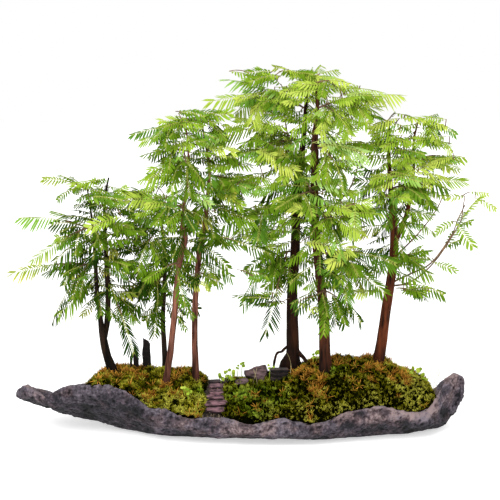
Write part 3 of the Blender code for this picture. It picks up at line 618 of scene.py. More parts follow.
# %% [markdown]
# A shoot of moss is a tuft or a rosette of a few pointed leaflets. Each leaflet is a cone of three
# sides, the cheapest closed shape with a point. The rust-coloured plants between them are stars of
# longer rays. One of each is modelled here, and the carpets get thousands of turned copies.

# %% Moss shoots
LEAFLET_FLATNESS = 0.45  # a leaflet's thickness as a share of its width
LOOKS = 5  # different shoots of each kind


def leaflet_ring(count, length, width, rise, spread, seed):
    """A tuft of pointed leaflets, each leaning out from the middle."""
    draw = random.Random(seed)
    bm = bmesh.new()
    flat = Matrix.Diagonal((LEAFLET_FLATNESS, 1.0, 1.0, 1.0))
    for number in range(count):
        reach = length * draw.uniform(0.75, 1.2)
        lift = math.radians(rise + draw.uniform(-spread, spread))
        around = 2 * math.pi * (number + draw.uniform(-0.3, 0.3)) / count
        made = bmesh.ops.create_cone(bm, cap_ends=True, segments=3, radius1=width / 2, radius2=0,
                                     depth=reach)
        lean = Matrix.Rotation(around, 4, "Z") @ Matrix.Rotation(math.pi / 2 - lift, 4, "Y")
        out = Matrix.Translation((0, 0, reach / 2))
        bmesh.ops.transform(bm, matrix=lean @ out @ flat, verts=made["verts"])
    return read_bmesh(bm)


# Shoots as (leaflets, length, width, rise and its spread in degrees)
KINDS = {"rosette": (6, 4.6, 2.3, 42, 16), "tuft": (4, 4.4, 1.15, 62, 18), "star": (7, 8.2, 1.8, 30, 26)}
SHOOTS = {kind: [leaflet_ring(*habit, seed) for seed in range(LOOKS)] for kind, habit in KINDS.items()}
print("a rosette has", len(SHOOTS["rosette"][0][1]), "triangles")

# %% Planting shoots
CLUMP = 8.0  # shoots stand in clumps of about this size, lighter and darker
CLUMP_CONTRAST = 0.6
CLUMP_RISE = 2.6  # and up to so much higher and lower
TRIES = 12  # draws allowed for each shoot that is wanted
THIN = 0.04  # nothing grows where the carpet is thinner than this
SUNK = 0.6  # how deep a shoot's foot stands in the carpet
SHOOT_HEIGHT = 5.0  # a shoot's points are at their palest so far from its foot
LOOSE = 0.35  # how freely a shoot leans away from the upright
TINT_SPREAD = 0.3


def plant_shoots(heap, side, kind, wanted, size, lushness, colour, fresh, seed):
    """Scatters shoots over a carpet, where lushness(x, y) lets them grow."""
    draw = random.Random(seed)
    low, high = MOSS_SPANS[side]
    planted = 0
    for _ in range(wanted * TRIES):
        if planted == wanted:
            break
        x = draw.uniform(low - 4, high + 4)
        y = draw.uniform(-100, 115)
        fade = carpet_fade(side, x, y)
        if fade < THIN or draw.random() > lushness(x, y):
            continue
        z = carpet_top(side, x, y)
        slope = Vector((carpet_top(side, x - 2, y) - carpet_top(side, x + 2, y),
                        carpet_top(side, x, y - 2) - carpet_top(side, x, y + 2), 4.0)).normalized()
        lean = slope + UP * 0.5 + Vector([draw.uniform(-LOOSE, LOOSE) for _ in range(3)])
        turned = lean.to_track_quat("Z", "Y").to_matrix() @ Matrix.Rotation(draw.uniform(0, 6.3), 3, "Z")
        points, triangles = draw.choice(SHOOTS[kind])
        scale = size * draw.uniform(0.7, 1.3) * (0.75 + 0.25 * fade)
        clump = noise.noise(Vector((x, y, 40.0)) / CLUMP)
        laid = points @ np.array(turned).T * scale + (x, y, z - SUNK + CLUMP_RISE * clump)
        marks = np.empty((len(points), 4))
        tint = colour(x, y) + CLUMP_CONTRAST * clump + draw.uniform(-TINT_SPREAD, TINT_SPREAD)
        marks[:, 0] = clamped(tint)
        marks[:, 1] = np.clip(np.linalg.norm(points, axis=1) / SHOOT_HEIGHT, 0, 1)
        marks[:, 2] = draw.random()
        marks[:, 3] = fresh(x, y)
        heap.add(laid, triangles, marks)
        planted += 1


# %% [markdown]
# Moss is dark between its shoots and bright at their tips, which is painted shade: the second mark says
# how near a point is to its tip, and the shader darkens the points low down. The first mark picks the
# plant's tint, and the last where the moss is finest and greenest. The rusty plants go the same way
# from brown to orange.

# %% Moss finishes
FRESH_GREEN = (0.5, 0.88, 0.5)  # what the finest, greenest moss makes of a tint


def moss_finish(name, tints, shade):
    made, tree, skin = new_material(name, 0.75, 0.0)
    tint, height, _, fresh = attribute(tree, "marks")
    leaf = ramp(tree, tint, tints)
    leaf = blend(tree, fresh, leaf, blend(tree, 1.0, leaf, FRESH_GREEN, "MULTIPLY"))
    # Painted shade: points low on a shoot, and the carpet under them, take the shade colour, which lifts
    # towards the tips.
    depth = ramp(tree, height, [(0.25, shade), (1.0, (1.0, 1.0, 1.0))])
    tree.links.new(blend(tree, 1.0, leaf, depth, "MULTIPLY"), skin.inputs["Base Color"])
    roughen(tree, skin, grain(tree, 1.5, 5), 0.6)
    return made


GREEN_MOSS = moss_finish("green_moss", [(0.0, (0.010, 0.012, 0.001)), (0.35, (0.065, 0.075, 0.004)),
                                        (0.65, (0.50, 0.46, 0.016)), (1.0, (1.0, 0.97, 0.14))],
                         (0.05, 0.045, 0.03))
RUST_MOSS = moss_finish("rusty_moss", [(0.0, (0.05, 0.017, 0.003)), (0.45, (0.36, 0.13, 0.015)),
                                       (1.0, (1.0, 0.50, 0.08))], (0.10, 0.07, 0.05))

# %% [markdown]
# Now the two mounds. The left one is a mass of leafy rosettes with rusty stars in loose groups. The
# right one is finer, bright green low at the left and at its right end, and rusty over its top.

# %% Plant the mounds
# Groups as (x, y, radius): where rusty plants crowd together, where the moss is lime green, and where
# it is fine and green instead of rusty
RUST_GROUPS = {"moss_left": [(-200, 5, 16), (-178, -5, 18), (-158, -10, 12), (-110, -30, 15),
                             (-131, -62, 9), (-85, 15, 10), (-150, 45, 20), (-190, 40, 16)],
               "moss_right": [(98, 5, 12), (118, -15, 14), (122, -40, 10), (154, 10, 10), (205, 0, 16),
                              (228, -15, 16), (250, -10, 12), (215, 35, 22), (120, 60, 24)]}
LIME_GROUPS = {"moss_left": [(-70, -50, 24), (-100, -72, 22), (-140, -74, 16)],
               "moss_right": [(280, -12, 36), (0, -20, 24), (258, -40, 28), (100, -80, 26),
                              (40, -76, 28), (150, -78, 24), (205, -70, 26), (240, 30, 20)]}
FRESH_GROUPS = {"moss_left": [(-60, -30, 12)],
                "moss_right": [(5, -30, 34), (35, -20, 34), (20, -60, 30), (60, -45, 22), (150, -10, 16)]}


def nearness(groups, x, y):
    """1 in the middle of a group, fading to 0 away from all of them."""
    return max(math.exp(-((x - gx) ** 2 + (y - gy) ** 2) / radius ** 2) for gx, gy, radius in groups)


def patchy(x, y, size, seed):
    return 0.5 + noise.noise(Vector((x / size, y / size, seed)))


def plant_mound(side, green, rust, leafy):
    """Green shoots as (kind, number, size), then so many rusty plants of one size."""
    rusty, limy = RUST_GROUPS[side], LIME_GROUPS[side]

    def green_tint(x, y):
        return 0.42 + 0.58 * nearness(limy, x, y) + 0.55 * (patchy(x, y, 22, 3) - 0.5)

    def rust_share(x, y):
        return 0.012 + 0.9 * nearness(rusty, x, y) * clamped(4.0 * patchy(x, y, 12, 8) - 1.8)

    def freshness(x, y):
        return 0.85 * nearness(FRESH_GROUPS[side], x, y)

    heap = Heap()
    heap.add(*carpet(side))
    for kind, count, size in green:
        plant_shoots(heap, side, kind, count, size, lambda x, y: 1.0, green_tint, freshness, count)
    dress(side + "_carpet", heap, [GREEN_MOSS], "moss", side)
    heap = Heap()
    plant_shoots(heap, side, "star", rust, leafy, rust_share, lambda x, y: 0.8, lambda x, y: 0.0, rust)
    dress(side + "_rust", heap, [RUST_MOSS], "moss")


plant_mound("moss_left", [("rosette", 2300, 1.15), ("tuft", 1200, 1.2)], 460, 1.35)
plant_mound("moss_right", [("tuft", 6800, 1.05), ("rosette", 900, 0.95)], 640, 1.2)

# %% [markdown]
# ## Path and slates
# The path is a flight of split slates sunk in the soil. Slate parts along flat layers, so each stone
# is an outline pulled up through a few layers that step in and out, with its rims broken by a small
# bevel and its faces made uneven.

# %% Slates
# Flat stones as (x, y, lift above the soil, length, depth, thickness, tilt, turn, plates)
STEPPING_STONES = [(-34, -65, 1.5, 31, 15, 4, 14, -5, 1), (-34, -49, 1.5, 35, 16, 4, 15, 6, 1),
                   (-35, -32, 1.5, 30, 15, 4, 15, -5, 1), (-33, -14, 1.5, 26, 16, 4, 14, 7, 1),
                   (-34, 8, 1.5, 25, 18, 4, 10, -8, 1)]
SLATES = [(27, 31, 15, 39, 33, 4.5, 42, 0, 1), (5, 14, 8.5, 20, 14, 5, 26, 10, 1),
          (64, 15, 14.5, 31, 15, 19, 3, 5, 3)]
# Corners of the big slate, as shares of its half length and half depth
SLAB_OUTLINE = [(-0.95, 0.3), (-0.45, 0.45), (-0.05, 0.78), (0.85, 1.0), (1.0, 0.25), (0.68, -1.0),
                (-0.15, -0.65), (-0.9, -0.35)]
CORNER_REACH = 0.2  # how far a stone's corners stand out of an ellipse
GROOVE_SHARE = 0.4  # a groove between two plates of a stone, for a plate's thickness
WAIST = 0.8  # and the size of the stone in that groove
SHARDS = [(-169, 29, 4.5, 19, 4.5), (-161, 31, 8.5, 33, 5.5), (-144.5, 33, 14, 49, 6.5)]
SHARD_FOOT = 12  # how deep a shard stands below the moss
SHARD_TAPER = 0.78  # its top's width for its foot's
SHARD_BREAK = 0.17  # a shard's right side breaks off lower, by this share of its height
PLATE_LAYERS = 3  # thin layers that show in the rim of one plate
LAYER_STEP = 0.06  # how far a layer steps in or out, as a share of its size
CHIP = 0.6  # bevel of a slate's rims
RIM_ANGLE = 0.9  # an edge sharper than this is such a rim
RAGGED = 0.045  # how far a stone's outline strays, as a share of its size
LONG_EDGE = 3.0  # longer edges are divided, so that the faces can be uneven
BEDDED = 0.55  # this share of a stone's thickness lies under its place
SLATE_RELIEF = 0.35
# Thin dark slates where the path goes over the crest
CREST_SLATES = [(-37, 30, 1.5, 20, 14, 3, 6, 4, 1), (-12, 26, 5, 28, 12, 3, 5, -6, 1)]


def stone_corners(stone, seed):
    """Eight corners of a flat stone, as shares of its half length and half depth."""
    if stone == SLATES[0]:
        return SLAB_OUTLINE
    draw = random.Random(seed)
    corners = []
    for number in range(8):
        angle = math.pi * number / 4
        reach = (1.0 + draw.uniform(-0.13, 0.1)) * (1.0 + CORNER_REACH * abs(math.sin(2 * angle)))
        corners.append((math.cos(angle) * reach, math.sin(angle) * reach))
    return corners


def raise_layers(bm, thickness, plates, draw):
    """Pulls the flat outline up layer by layer, with a groove between two plates."""
    plate = thickness / (plates + GROOVE_SHARE * (plates - 1))
    groove = plate * GROOVE_SHARE / 2
    face = bm.faces[:]
    foot = face[0]
    for number in range(plates):
        rises = [(groove, WAIST), (groove, 1 / WAIST)] if number else []
        for _ in range(PLATE_LAYERS):
            rises.append((plate / PLATE_LAYERS, 1 + draw.uniform(-LAYER_STEP, LAYER_STEP * 0.6)))
        for rise, size in rises:
            upper, above = extruded(bm, face)
            if face[0] != foot:  # the face that the last layer ended in would stay inside
                bmesh.ops.delete(bm, geom=face, context="FACES_ONLY")
            face = above
            bmesh.ops.scale(bm, vec=(size, size, 1), verts=upper)
            bmesh.ops.translate(bm, vec=(0, 0, rise), verts=upper)


def split_stone(stone, seed):
    """A slate in layers, as (x, y, lift, length, depth, thickness, tilt, turn, plates)."""
    x, y, lift, length, depth, thickness, tilt, turn, plates = stone
    draw = random.Random(seed)
    bm = bmesh.new()
    bmesh.ops.create_circle(bm, cap_ends=True, segments=8, radius=1)
    for vert, (across, away) in zip(bm.verts, stone_corners(stone, seed)):
        vert.co = (across * length / 2, away * depth / 2, 0)
    bmesh.ops.subdivide_edges(bm, edges=bm.edges[:], cuts=2)
    for vert in bm.verts:
        vert.co.xy *= 1 + draw.uniform(-RAGGED, RAGGED)
    raise_layers(bm, thickness, plates, draw)
    rims = [edge for edge in bm.edges if len(edge.link_faces) == 2 and edge.calc_face_angle(0) > RIM_ANGLE]
    bmesh.ops.bevel(bm, geom=rims, offset=min(CHIP, thickness / 8), offset_type="OFFSET",
                    affect="EDGES", segments=1, profile=0.5, material=-1)
    bmesh.ops.triangulate(bm, faces=bm.faces[:])
    long_edges = [edge for edge in bm.edges if edge.calc_length() > LONG_EDGE]
    bmesh.ops.subdivide_edges(bm, edges=long_edges, cuts=2, use_grid_fill=True)
    bmesh.ops.translate(bm, vec=(0, 0, -thickness * BEDDED), verts=bm.verts)
    for vert in bm.verts:
        place = Vector((vert.co.x, vert.co.y, vert.co.z * 3 + seed * 20))
        vert.co.z += SLATE_RELIEF * noise.noise(place / 5.0) + 0.4 * noise.noise(place / 14.0)
        vert.co.xy *= 1 + 0.05 * noise.noise(place / 3.0)
    turned = Matrix.Rotation(math.radians(tilt), 4, "X") @ Matrix.Rotation(math.radians(turn), 4, "Z")
    bmesh.ops.transform(bm, matrix=turned, verts=bm.verts)
    bmesh.ops.translate(bm, vec=(x, y, ground(x, y) + lift), verts=bm.verts)
    return read_bmesh(bm)


def splinter(place, seed):
    """A splinter of rock standing upright, broken off at a slant and chipped along its edges."""
    x, y, width, height, thickness = place
    bm = bmesh.new()
    bmesh.ops.create_cube(bm, size=1)
    for vert in bm.verts:
        top = vert.co.z > 0
        lean = SHARD_TAPER if top else 1.0
        slant = height * SHARD_BREAK if top and vert.co.x > 0 else 0.0
        vert.co = (vert.co.x * width * lean, vert.co.y * thickness * lean,
                   height - slant if top else -SHARD_FOOT)
    bmesh.ops.subdivide_edges(bm, edges=bm.edges[:], cuts=9, use_grid_fill=True)
    for vert in bm.verts:
        place = Vector((vert.co.x, vert.co.y, vert.co.z * 0.35 + seed * 30))
        vert.co.x += 1.5 * noise.noise(place / 6.0)
        vert.co.y += 1.1 * noise.noise(place / 4.0 + Vector((9, 9, 9)))
        vert.co.z += 1.6 * noise.noise(place / 3.0 + Vector((4, 8, 2))) * (vert.co.z > 2)
    bmesh.ops.translate(bm, vec=(x, y, ground(x, y) + MOSS_DEPTH), verts=bm.verts)
    return read_bmesh(bm)


def slate_finish(name, dark, light):
    made, tree, skin = new_material(name, 0.62, 0.2)
    tone = grain(tree, 9, 7, (1, 1, 0.25))
    facing = add_node(tree, "SeparateXYZ", {"Vector": add_node(tree, "NewGeometry", {}).outputs["Normal"]})
    # Painted shade: faces that turn aside or down are darkened.
    shaded = ramp(tree, facing.outputs["Z"], [(0.15, (0.16, 0.15, 0.15)), (0.6, (1.0, 1.0, 1.0))])
    split = ramp(tree, tone, [(0.36, dark), (0.64, light)])
    tree.links.new(blend(tree, 1.0, split, shaded, "MULTIPLY"), skin.inputs["Base Color"])
    roughen(tree, skin, grain(tree, 1.6, 8, (1, 1, 0.3)), 0.7)
    return made


PATH_SLATE = slate_finish("purple_slate", (0.030, 0.014, 0.018), (0.27, 0.14, 0.165))
DARK_SLATE = slate_finish("dark_slate", (0.016, 0.008, 0.009), (0.064, 0.036, 0.040))
BROAD_SLATE = slate_finish("grey_slate", (0.032, 0.018, 0.019), (0.175, 0.108, 0.112))
BROWN_SLATE = slate_finish("brown_slate", (0.012, 0.008, 0.007), (0.085, 0.060, 0.056))


def dress_stone(name, shape, finish, *nodes):
    heap = Heap()
    heap.add(*shape, (0.5, 0, 0, 1))
    dress(name, heap, [finish], "slate", *nodes)


for number, stone in enumerate(STEPPING_STONES, 1):
    dress_stone(f"stepping_stone_split_{number}", split_stone(stone, number), PATH_SLATE,
                f"stepping_stone_{number}")
for number, (stone, finish) in enumerate(zip(SLATES, (BROAD_SLATE, BROAD_SLATE, BROWN_SLATE)), 1):
    dress_stone(f"slate_split_{number}", split_stone(stone, number), finish, f"slate_{number}")
for number, stone in enumerate(CREST_SLATES, 1):
    dress_stone(f"crest_slate_split_{number}", split_stone(stone, number), DARK_SLATE)
for number, place in enumerate(SHARDS, 1):
    dress_stone(f"splinter_{number}", splinter(place, number), DARK_SLATE, f"shard_{number}")

# %% [markdown]
# Between the slates lies tan grit. A crumb is a small icosphere pushed out of round, and some hundred
# copies of a few such crumbs lie along the path and where the moss gives out.

# %% Grit
GRIT_COUNT = 260
GRIT_SPAN = (-62, -10, -88, 70)  # x from and to, y from and to


def grit_crumb(seed):
    bm = bmesh.new()
    bmesh.ops.create_icosphere(bm, subdivisions=1, radius=1)
    for vert in bm.verts:
        vert.co *= 1 + 0.5 * noise.noise(vert.co * 1.3 + Vector((seed * 7, 0, 0)))
    return read_bmesh(bm)


def grit_finish():
    made, tree, skin = new_material("tan_grit", 0.9)
    tint = attribute(tree, "marks")[0]
    stops = [(0.0, (0.03, 0.02, 0.014)), (0.6, (0.14, 0.095, 0.06)), (1.0, (0.45, 0.34, 0.23))]
    tree.links.new(ramp(tree, tint, stops), skin.inputs["Base Color"])
    return made


def scatter_grit():
    draw = random.Random(21)
    crumbs = [grit_crumb(seed) for seed in range(4)]
    heap = Heap()
    for _ in range(GRIT_COUNT):
        x, y = draw.uniform(*GRIT_SPAN[:2]), draw.uniform(*GRIT_SPAN[2:])
        points, triangles = draw.choice(crumbs)
        size = draw.uniform(0.6, 1.5)
        heap.add(points * size + (x, y, ground(x, y) + size * 0.3), triangles, (draw.random(), 0, 0, 1))
    dress("path_grit", heap, [grit_finish()], "soil")


scatter_grit()

# %% [markdown]
# ## Trunks
# The stems are tapered tubes along a few points. A curve with a bevel makes the tube, points read
# from a smooth curve through the given ones keep it free of kinks, and a Boolean union grows forks
# and roots together. Then each point moves a little in or out by a noise stretched along the stem,
# which gives the fibrous strips of a redwood's bark.

# %% Stems
# Stems as (x, y, z, radius) from the foot of the trunk up
STEMS = {
    "a_left": [(-194, 5, 66, 8.6), (-195, 5, 86, 7.8), (-203, 5, 111, 6.7), (-208, 5, 136, 6.0),
        (-213, 5, 177, 3.8), (-217, 5, 220, 3.3), (-218, 5, 270, 2.9), (-222, 5, 327, 1.7),
        (-228, 5, 374, 1.1)],
    "a_right": [(-209, 6, 132, 4.4), (-203, 13, 164, 4.4), (-201, 13, 205, 4.1), (-202, 13, 260, 3.7),
        (-204, 13, 320, 2.5), (-202, 13, 358, 1.7), (-196, 13, 388, 1.2)],
    "b": [(-117, 45, 54, 6.4), (-117, 45, 76, 5.2), (-117, 45, 101, 4.3), (-119, 45, 162, 3.6),
        (-115, 45, 235, 3.3), (-117, 45, 293, 2.6), (-129, 45, 356, 1.3)],
    "c": [(-112, -25, 58, 6.6), (-110, -25, 80, 5.6), (-102, -25, 135, 4.8), (-95, -25, 197, 4.4),
        (-89, -25, 259, 4.4), (-82, -25, 286, 4.6), (-79, -25, 305, 4.2), (-83, -25, 326, 2.8),
        (-76, -25, 380, 2.2), (-73, -25, 430, 1.5), (-76, -25, 466, 1.1)],
    "d": [(-66, 0, 58, 6.6), (-66, 0, 80, 5.7), (-67, 0, 138, 4.7), (-66, 0, 195, 4.3), (-60, 0, 264, 4.3),
        (-56, 0, 288, 4.7), (-50, 0, 322, 4.0), (-44, 0, 380, 2.8), (-43, 0, 410, 2.5), (-50, 0, 448, 1.5),
        (-53, 0, 470, 1.1)],
    "e": [(86, 40, 58, 17.0), (86, 40, 82, 14.0), (86, 40, 104, 10.8), (85, 40, 144, 9.5),
        (84, 40, 205, 8.3), (88, 40, 270, 7.5), (90, 40, 353, 6.7), (94, 40, 395, 6.0), (100, 40, 446, 4.1),
        (103, 40, 494, 2.8), (106, 40, 530, 1.7)],
    "f": [(135, -5, 68, 12.0), (134, -5, 97, 9.8), (133, -5, 124, 8.5), (131, -5, 180, 7.8),
        (124, -5, 243, 7.2), (116, -5, 330, 6.4), (115, -5, 414, 5.8), (115, -5, 450, 4.7),
        (118, -5, 494, 3.0), (116, -5, 528, 1.6)],
    "g": [(215, 20, 70, 12.0), (218, 20, 97, 10.2), (222, 20, 123, 8.6), (230, 20, 189, 7.5),
        (238, 20, 252, 6.9), (239, 20, 300, 6.3), (234, 20, 350, 4.5), (229, 20, 410, 3.1),
        (228, 20, 468, 1.5)],
    "g_right": [(238, 21, 282, 4.2), (253, 24, 315, 3.5), (264, 24, 360, 2.9), (267, 24, 401, 2.4),
        (266, 24, 440, 1.7), (271, 24, 468, 1.2)],
}
ROOTS = {
    "e_root_back": [(85, 42, 118, 4.0), (80, 43, 101, 7.0), (75, 45, 86, 10.0), (72, 46, 60, 13.0)],
    "e_root_thin": [(84, 37, 120, 3.0), (75, 36, 117, 2.3), (68, 34, 111, 2.1), (61, 33, 109, 1.9),
        (58, 32, 102, 1.7), (56, 31, 93, 1.9), (55, 30, 84, 1.5), (54, 30, 60, 1.2)],
    "e_root_right": [(90, 38, 114, 4.0), (97, 31, 107, 3.4), (104, 27, 100, 3.0), (112, 22, 82, 2.4)],
}
TREES = {"trunk_a": ["a_left", "a_right"], "trunk_b": ["b"], "trunk_c": ["c"], "trunk_d": ["d"],
         "trunk_e": ["e", "e_root_back", "e_root_thin", "e_root_right"], "trunk_f": ["f"],
         "trunk_g": ["g", "g_right"]}


def stem_at(stem, z):
    """Axis point and radius of a stem at a height."""
    points = STEMS[stem]
    for (x0, y0, z0, r0), (x1, y1, z1, r1) in zip(points, points[1:]):
        if z <= z1:
            share = (z - z0) / (z1 - z0)
            return Vector((x0, y0, z0)).lerp(Vector((x1, y1, z1)), share), r0 + share * (r1 - r0)
    return Vector(points[-1][:3]), points[-1][3]


# %% Trunks with their bark
BARK_STEP = 2.2  # one ring of points for so much stem
BARK_SIDES = 10  # bevel resolution: 4 + 2 x this many points round a stem
FIBRES = [(3.2, 0.45), (1.5, 0.28)]  # width and height of the bark's strips
FLUTES = (7.0, 1.1)  # the same of the broad ribs near the ground
FIBRE_STRETCH = 12.0
FLUTE_REACH = 60.0  # how far up the flutes fade out
FULL_GIRTH = 5.0  # a stem thinner than this has flatter bark
TALL = 450.0  # the second mark goes from 0 to 1 over this height


def smooth_route(points, step):
    """Points every step along a smooth curve through (x, y, z, radius) points."""
    known = np.array(points, float)
    ends = np.vstack([2 * known[0] - known[1], known, 2 * known[-1] - known[-2]])
    route = []
    for before, low, high, after in zip(ends, ends[1:], ends[2:], ends[3:]):
        count = max(2, round(np.linalg.norm(high[:3] - low[:3]) / step))
        share = (np.arange(count) / count)[:, None]
        bend = 0.5 * (2 * low + (high - before) * share
                      + (2 * before - 5 * low + 4 * high - after) * share ** 2
                      + (3 * low - before - 3 * high + after) * share ** 3)
        route.extend(bend)
    return [*route, known[-1]]


def tubes(name, routes, resolution):
    """One mesh of round tubes along (x, y, z, radius) routes, with welded caps."""
    curve = bpy.data.curves.new(name, "CURVE")
    curve.dimensions = "3D"
    curve.bevel_depth = 1.0
    curve.bevel_resolution = resolution
    curve.use_fill_caps = True
    for route in routes:
        spline = curve.splines.new("POLY")
        spline.points.add(len(route) - 1)
        for place, (x, y, z, radius) in zip(spline.points, route):
            place.co = (x, y, z, 1.0)
            place.radius = radius
    obj = bpy.data.objects.new(name, curve)
    weld = obj.modifiers.new("caps", "WELD")
    weld.merge_threshold = 0.0001
    return evaluated(obj)


def fused(meshes):
    """The first mesh grown together with the others."""
    first = bpy.data.objects.new("first", meshes[0])
    group = bpy.data.collections.new("others")
    bpy.context.scene.collection.children.link(group)
    for mesh in meshes[1:]:
        group.objects.link(bpy.data.objects.new("other", mesh))
    union = first.modifiers.new("union", "BOOLEAN")
    union.operation = "UNION"
    union.solver = "MANIFOLD"
    union.operand_type = "COLLECTION"
    union.collection = group
    made = evaluated(first)
    for other in list(group.objects):
        bpy.data.objects.remove(other)
    bpy.data.collections.remove(group)
    return made


def bark_relief(place, above):
    """How far the bark stands out (mm) at a place, so far above the foot."""
    upright = Vector((place.x, place.y, place.z / FIBRE_STRETCH))
    total = sum(height * noise.noise(upright / width + Vector((0, 0, width))) for width, height in FIBRES)
    width, height = FLUTES
    return total + height * noise.noise(upright / width) * math.exp(-above / FLUTE_REACH)


def barked_trunk(name, stems):
    """A trunk's stems and roots in one, with marks for the relief and the height above the foot."""
    routes = {**STEMS, **ROOTS}
    parts = [tubes(name, [smooth_route(routes[stem], BARK_STEP)], BARK_SIDES if stem in STEMS else 4)
             for stem in stems]
    mesh = fused(parts) if len(parts) > 1 else parts[0]
    foot = min(point[2] for point in routes[stems[0]])
    points, triangles = read_mesh(mesh)
    marks = np.zeros((len(points), 4))
    for vert in mesh.vertices:
        relief = bark_relief(vert.co, vert.co.z - foot)
        girth = max(stem_at(stem, vert.co.z)[1] for stem in stems if stem in STEMS)
        points[vert.index] = vert.co + vert.normal * relief * min(1.0, girth / FULL_GIRTH)
        marks[vert.index] = (0.5 + relief * 0.9, (vert.co.z - foot) / TALL, 0, 1)
    heap = Heap()
    heap.add(points, triangles, marks)
    return heap


# %% [markdown]
# The first two trees have near-black bark, the middle pair a pale reddish one, and the tall ones on
# the right a warm brown. One recipe makes all of them from two colours: strips along the stem, darker
# where the relief is low, which is painted shade in the furrows, with grey scales, and darker towards
# the foot.

# %% Bark finish
BARKS = {"trunk_a": ((0.003, 0.0017, 0.001), (0.031, 0.016, 0.008)),
         "trunk_b": ((0.004, 0.0028, 0.002), (0.045, 0.026, 0.017)),
         "trunk_c": ((0.036, 0.011, 0.007), (0.27, 0.105, 0.066)),
         "trunk_d": ((0.030, 0.010, 0.006), (0.25, 0.094, 0.060)),
         "trunk_e": ((0.0025, 0.0008, 0.0003), (0.036, 0.011, 0.0035)),
         "trunk_f": ((0.009, 0.003, 0.0015), (0.095, 0.029, 0.012)),
         "trunk_g": ((0.014, 0.004, 0.002), (0.155, 0.038, 0.013))}


def bark_finish(name, dark, light):
    made, tree, skin = new_material(name, 0.85, 0.12)
    relief, rise = attribute(tree, "marks")[:2]
    strips = grain(tree, 2.6, 6, (1, 1, FIBRE_STRETCH))
    # Painted shade: the bark is darker where its relief is low.
    tone = total(tree, times(tree, relief, 0.5), times(tree, strips, 0.5))
    fibre = ramp(tree, tone, [(0.34, dark), (0.66, light)])
    scales = ramp(tree, grain(tree, 11, 5, (1, 1, 2.5)), [(0.56, (0, 0, 0)), (0.72, (0.4, 0.4, 0.4))])
    grey = tuple(0.6 * channel + 0.3 * sum(light) / 3 for channel in light)
    # The bark is darker towards the trunk's foot.
    darker_at_foot = ramp(tree, rise, [(0.05, (0.3, 0.28, 0.28)), (0.17, (1.0, 1.0, 1.0))])
    bark = blend(tree, 1.0, blend(tree, scales, fibre, grey), darker_at_foot, "MULTIPLY")
    tree.links.new(bark, skin.inputs["Base Color"])
    roughen(tree, skin, strips, 1.2)
    return made


# %% [markdown]
# ## Limbs
# The solids say where each twig and each frond hangs. The fine foliage has to keep their form, so the
# same tables and the same rules are worked through again here: a limb's twigs arch out from the stem,
# and every frond is turned a little until it hangs clear of stems and of other limbs.

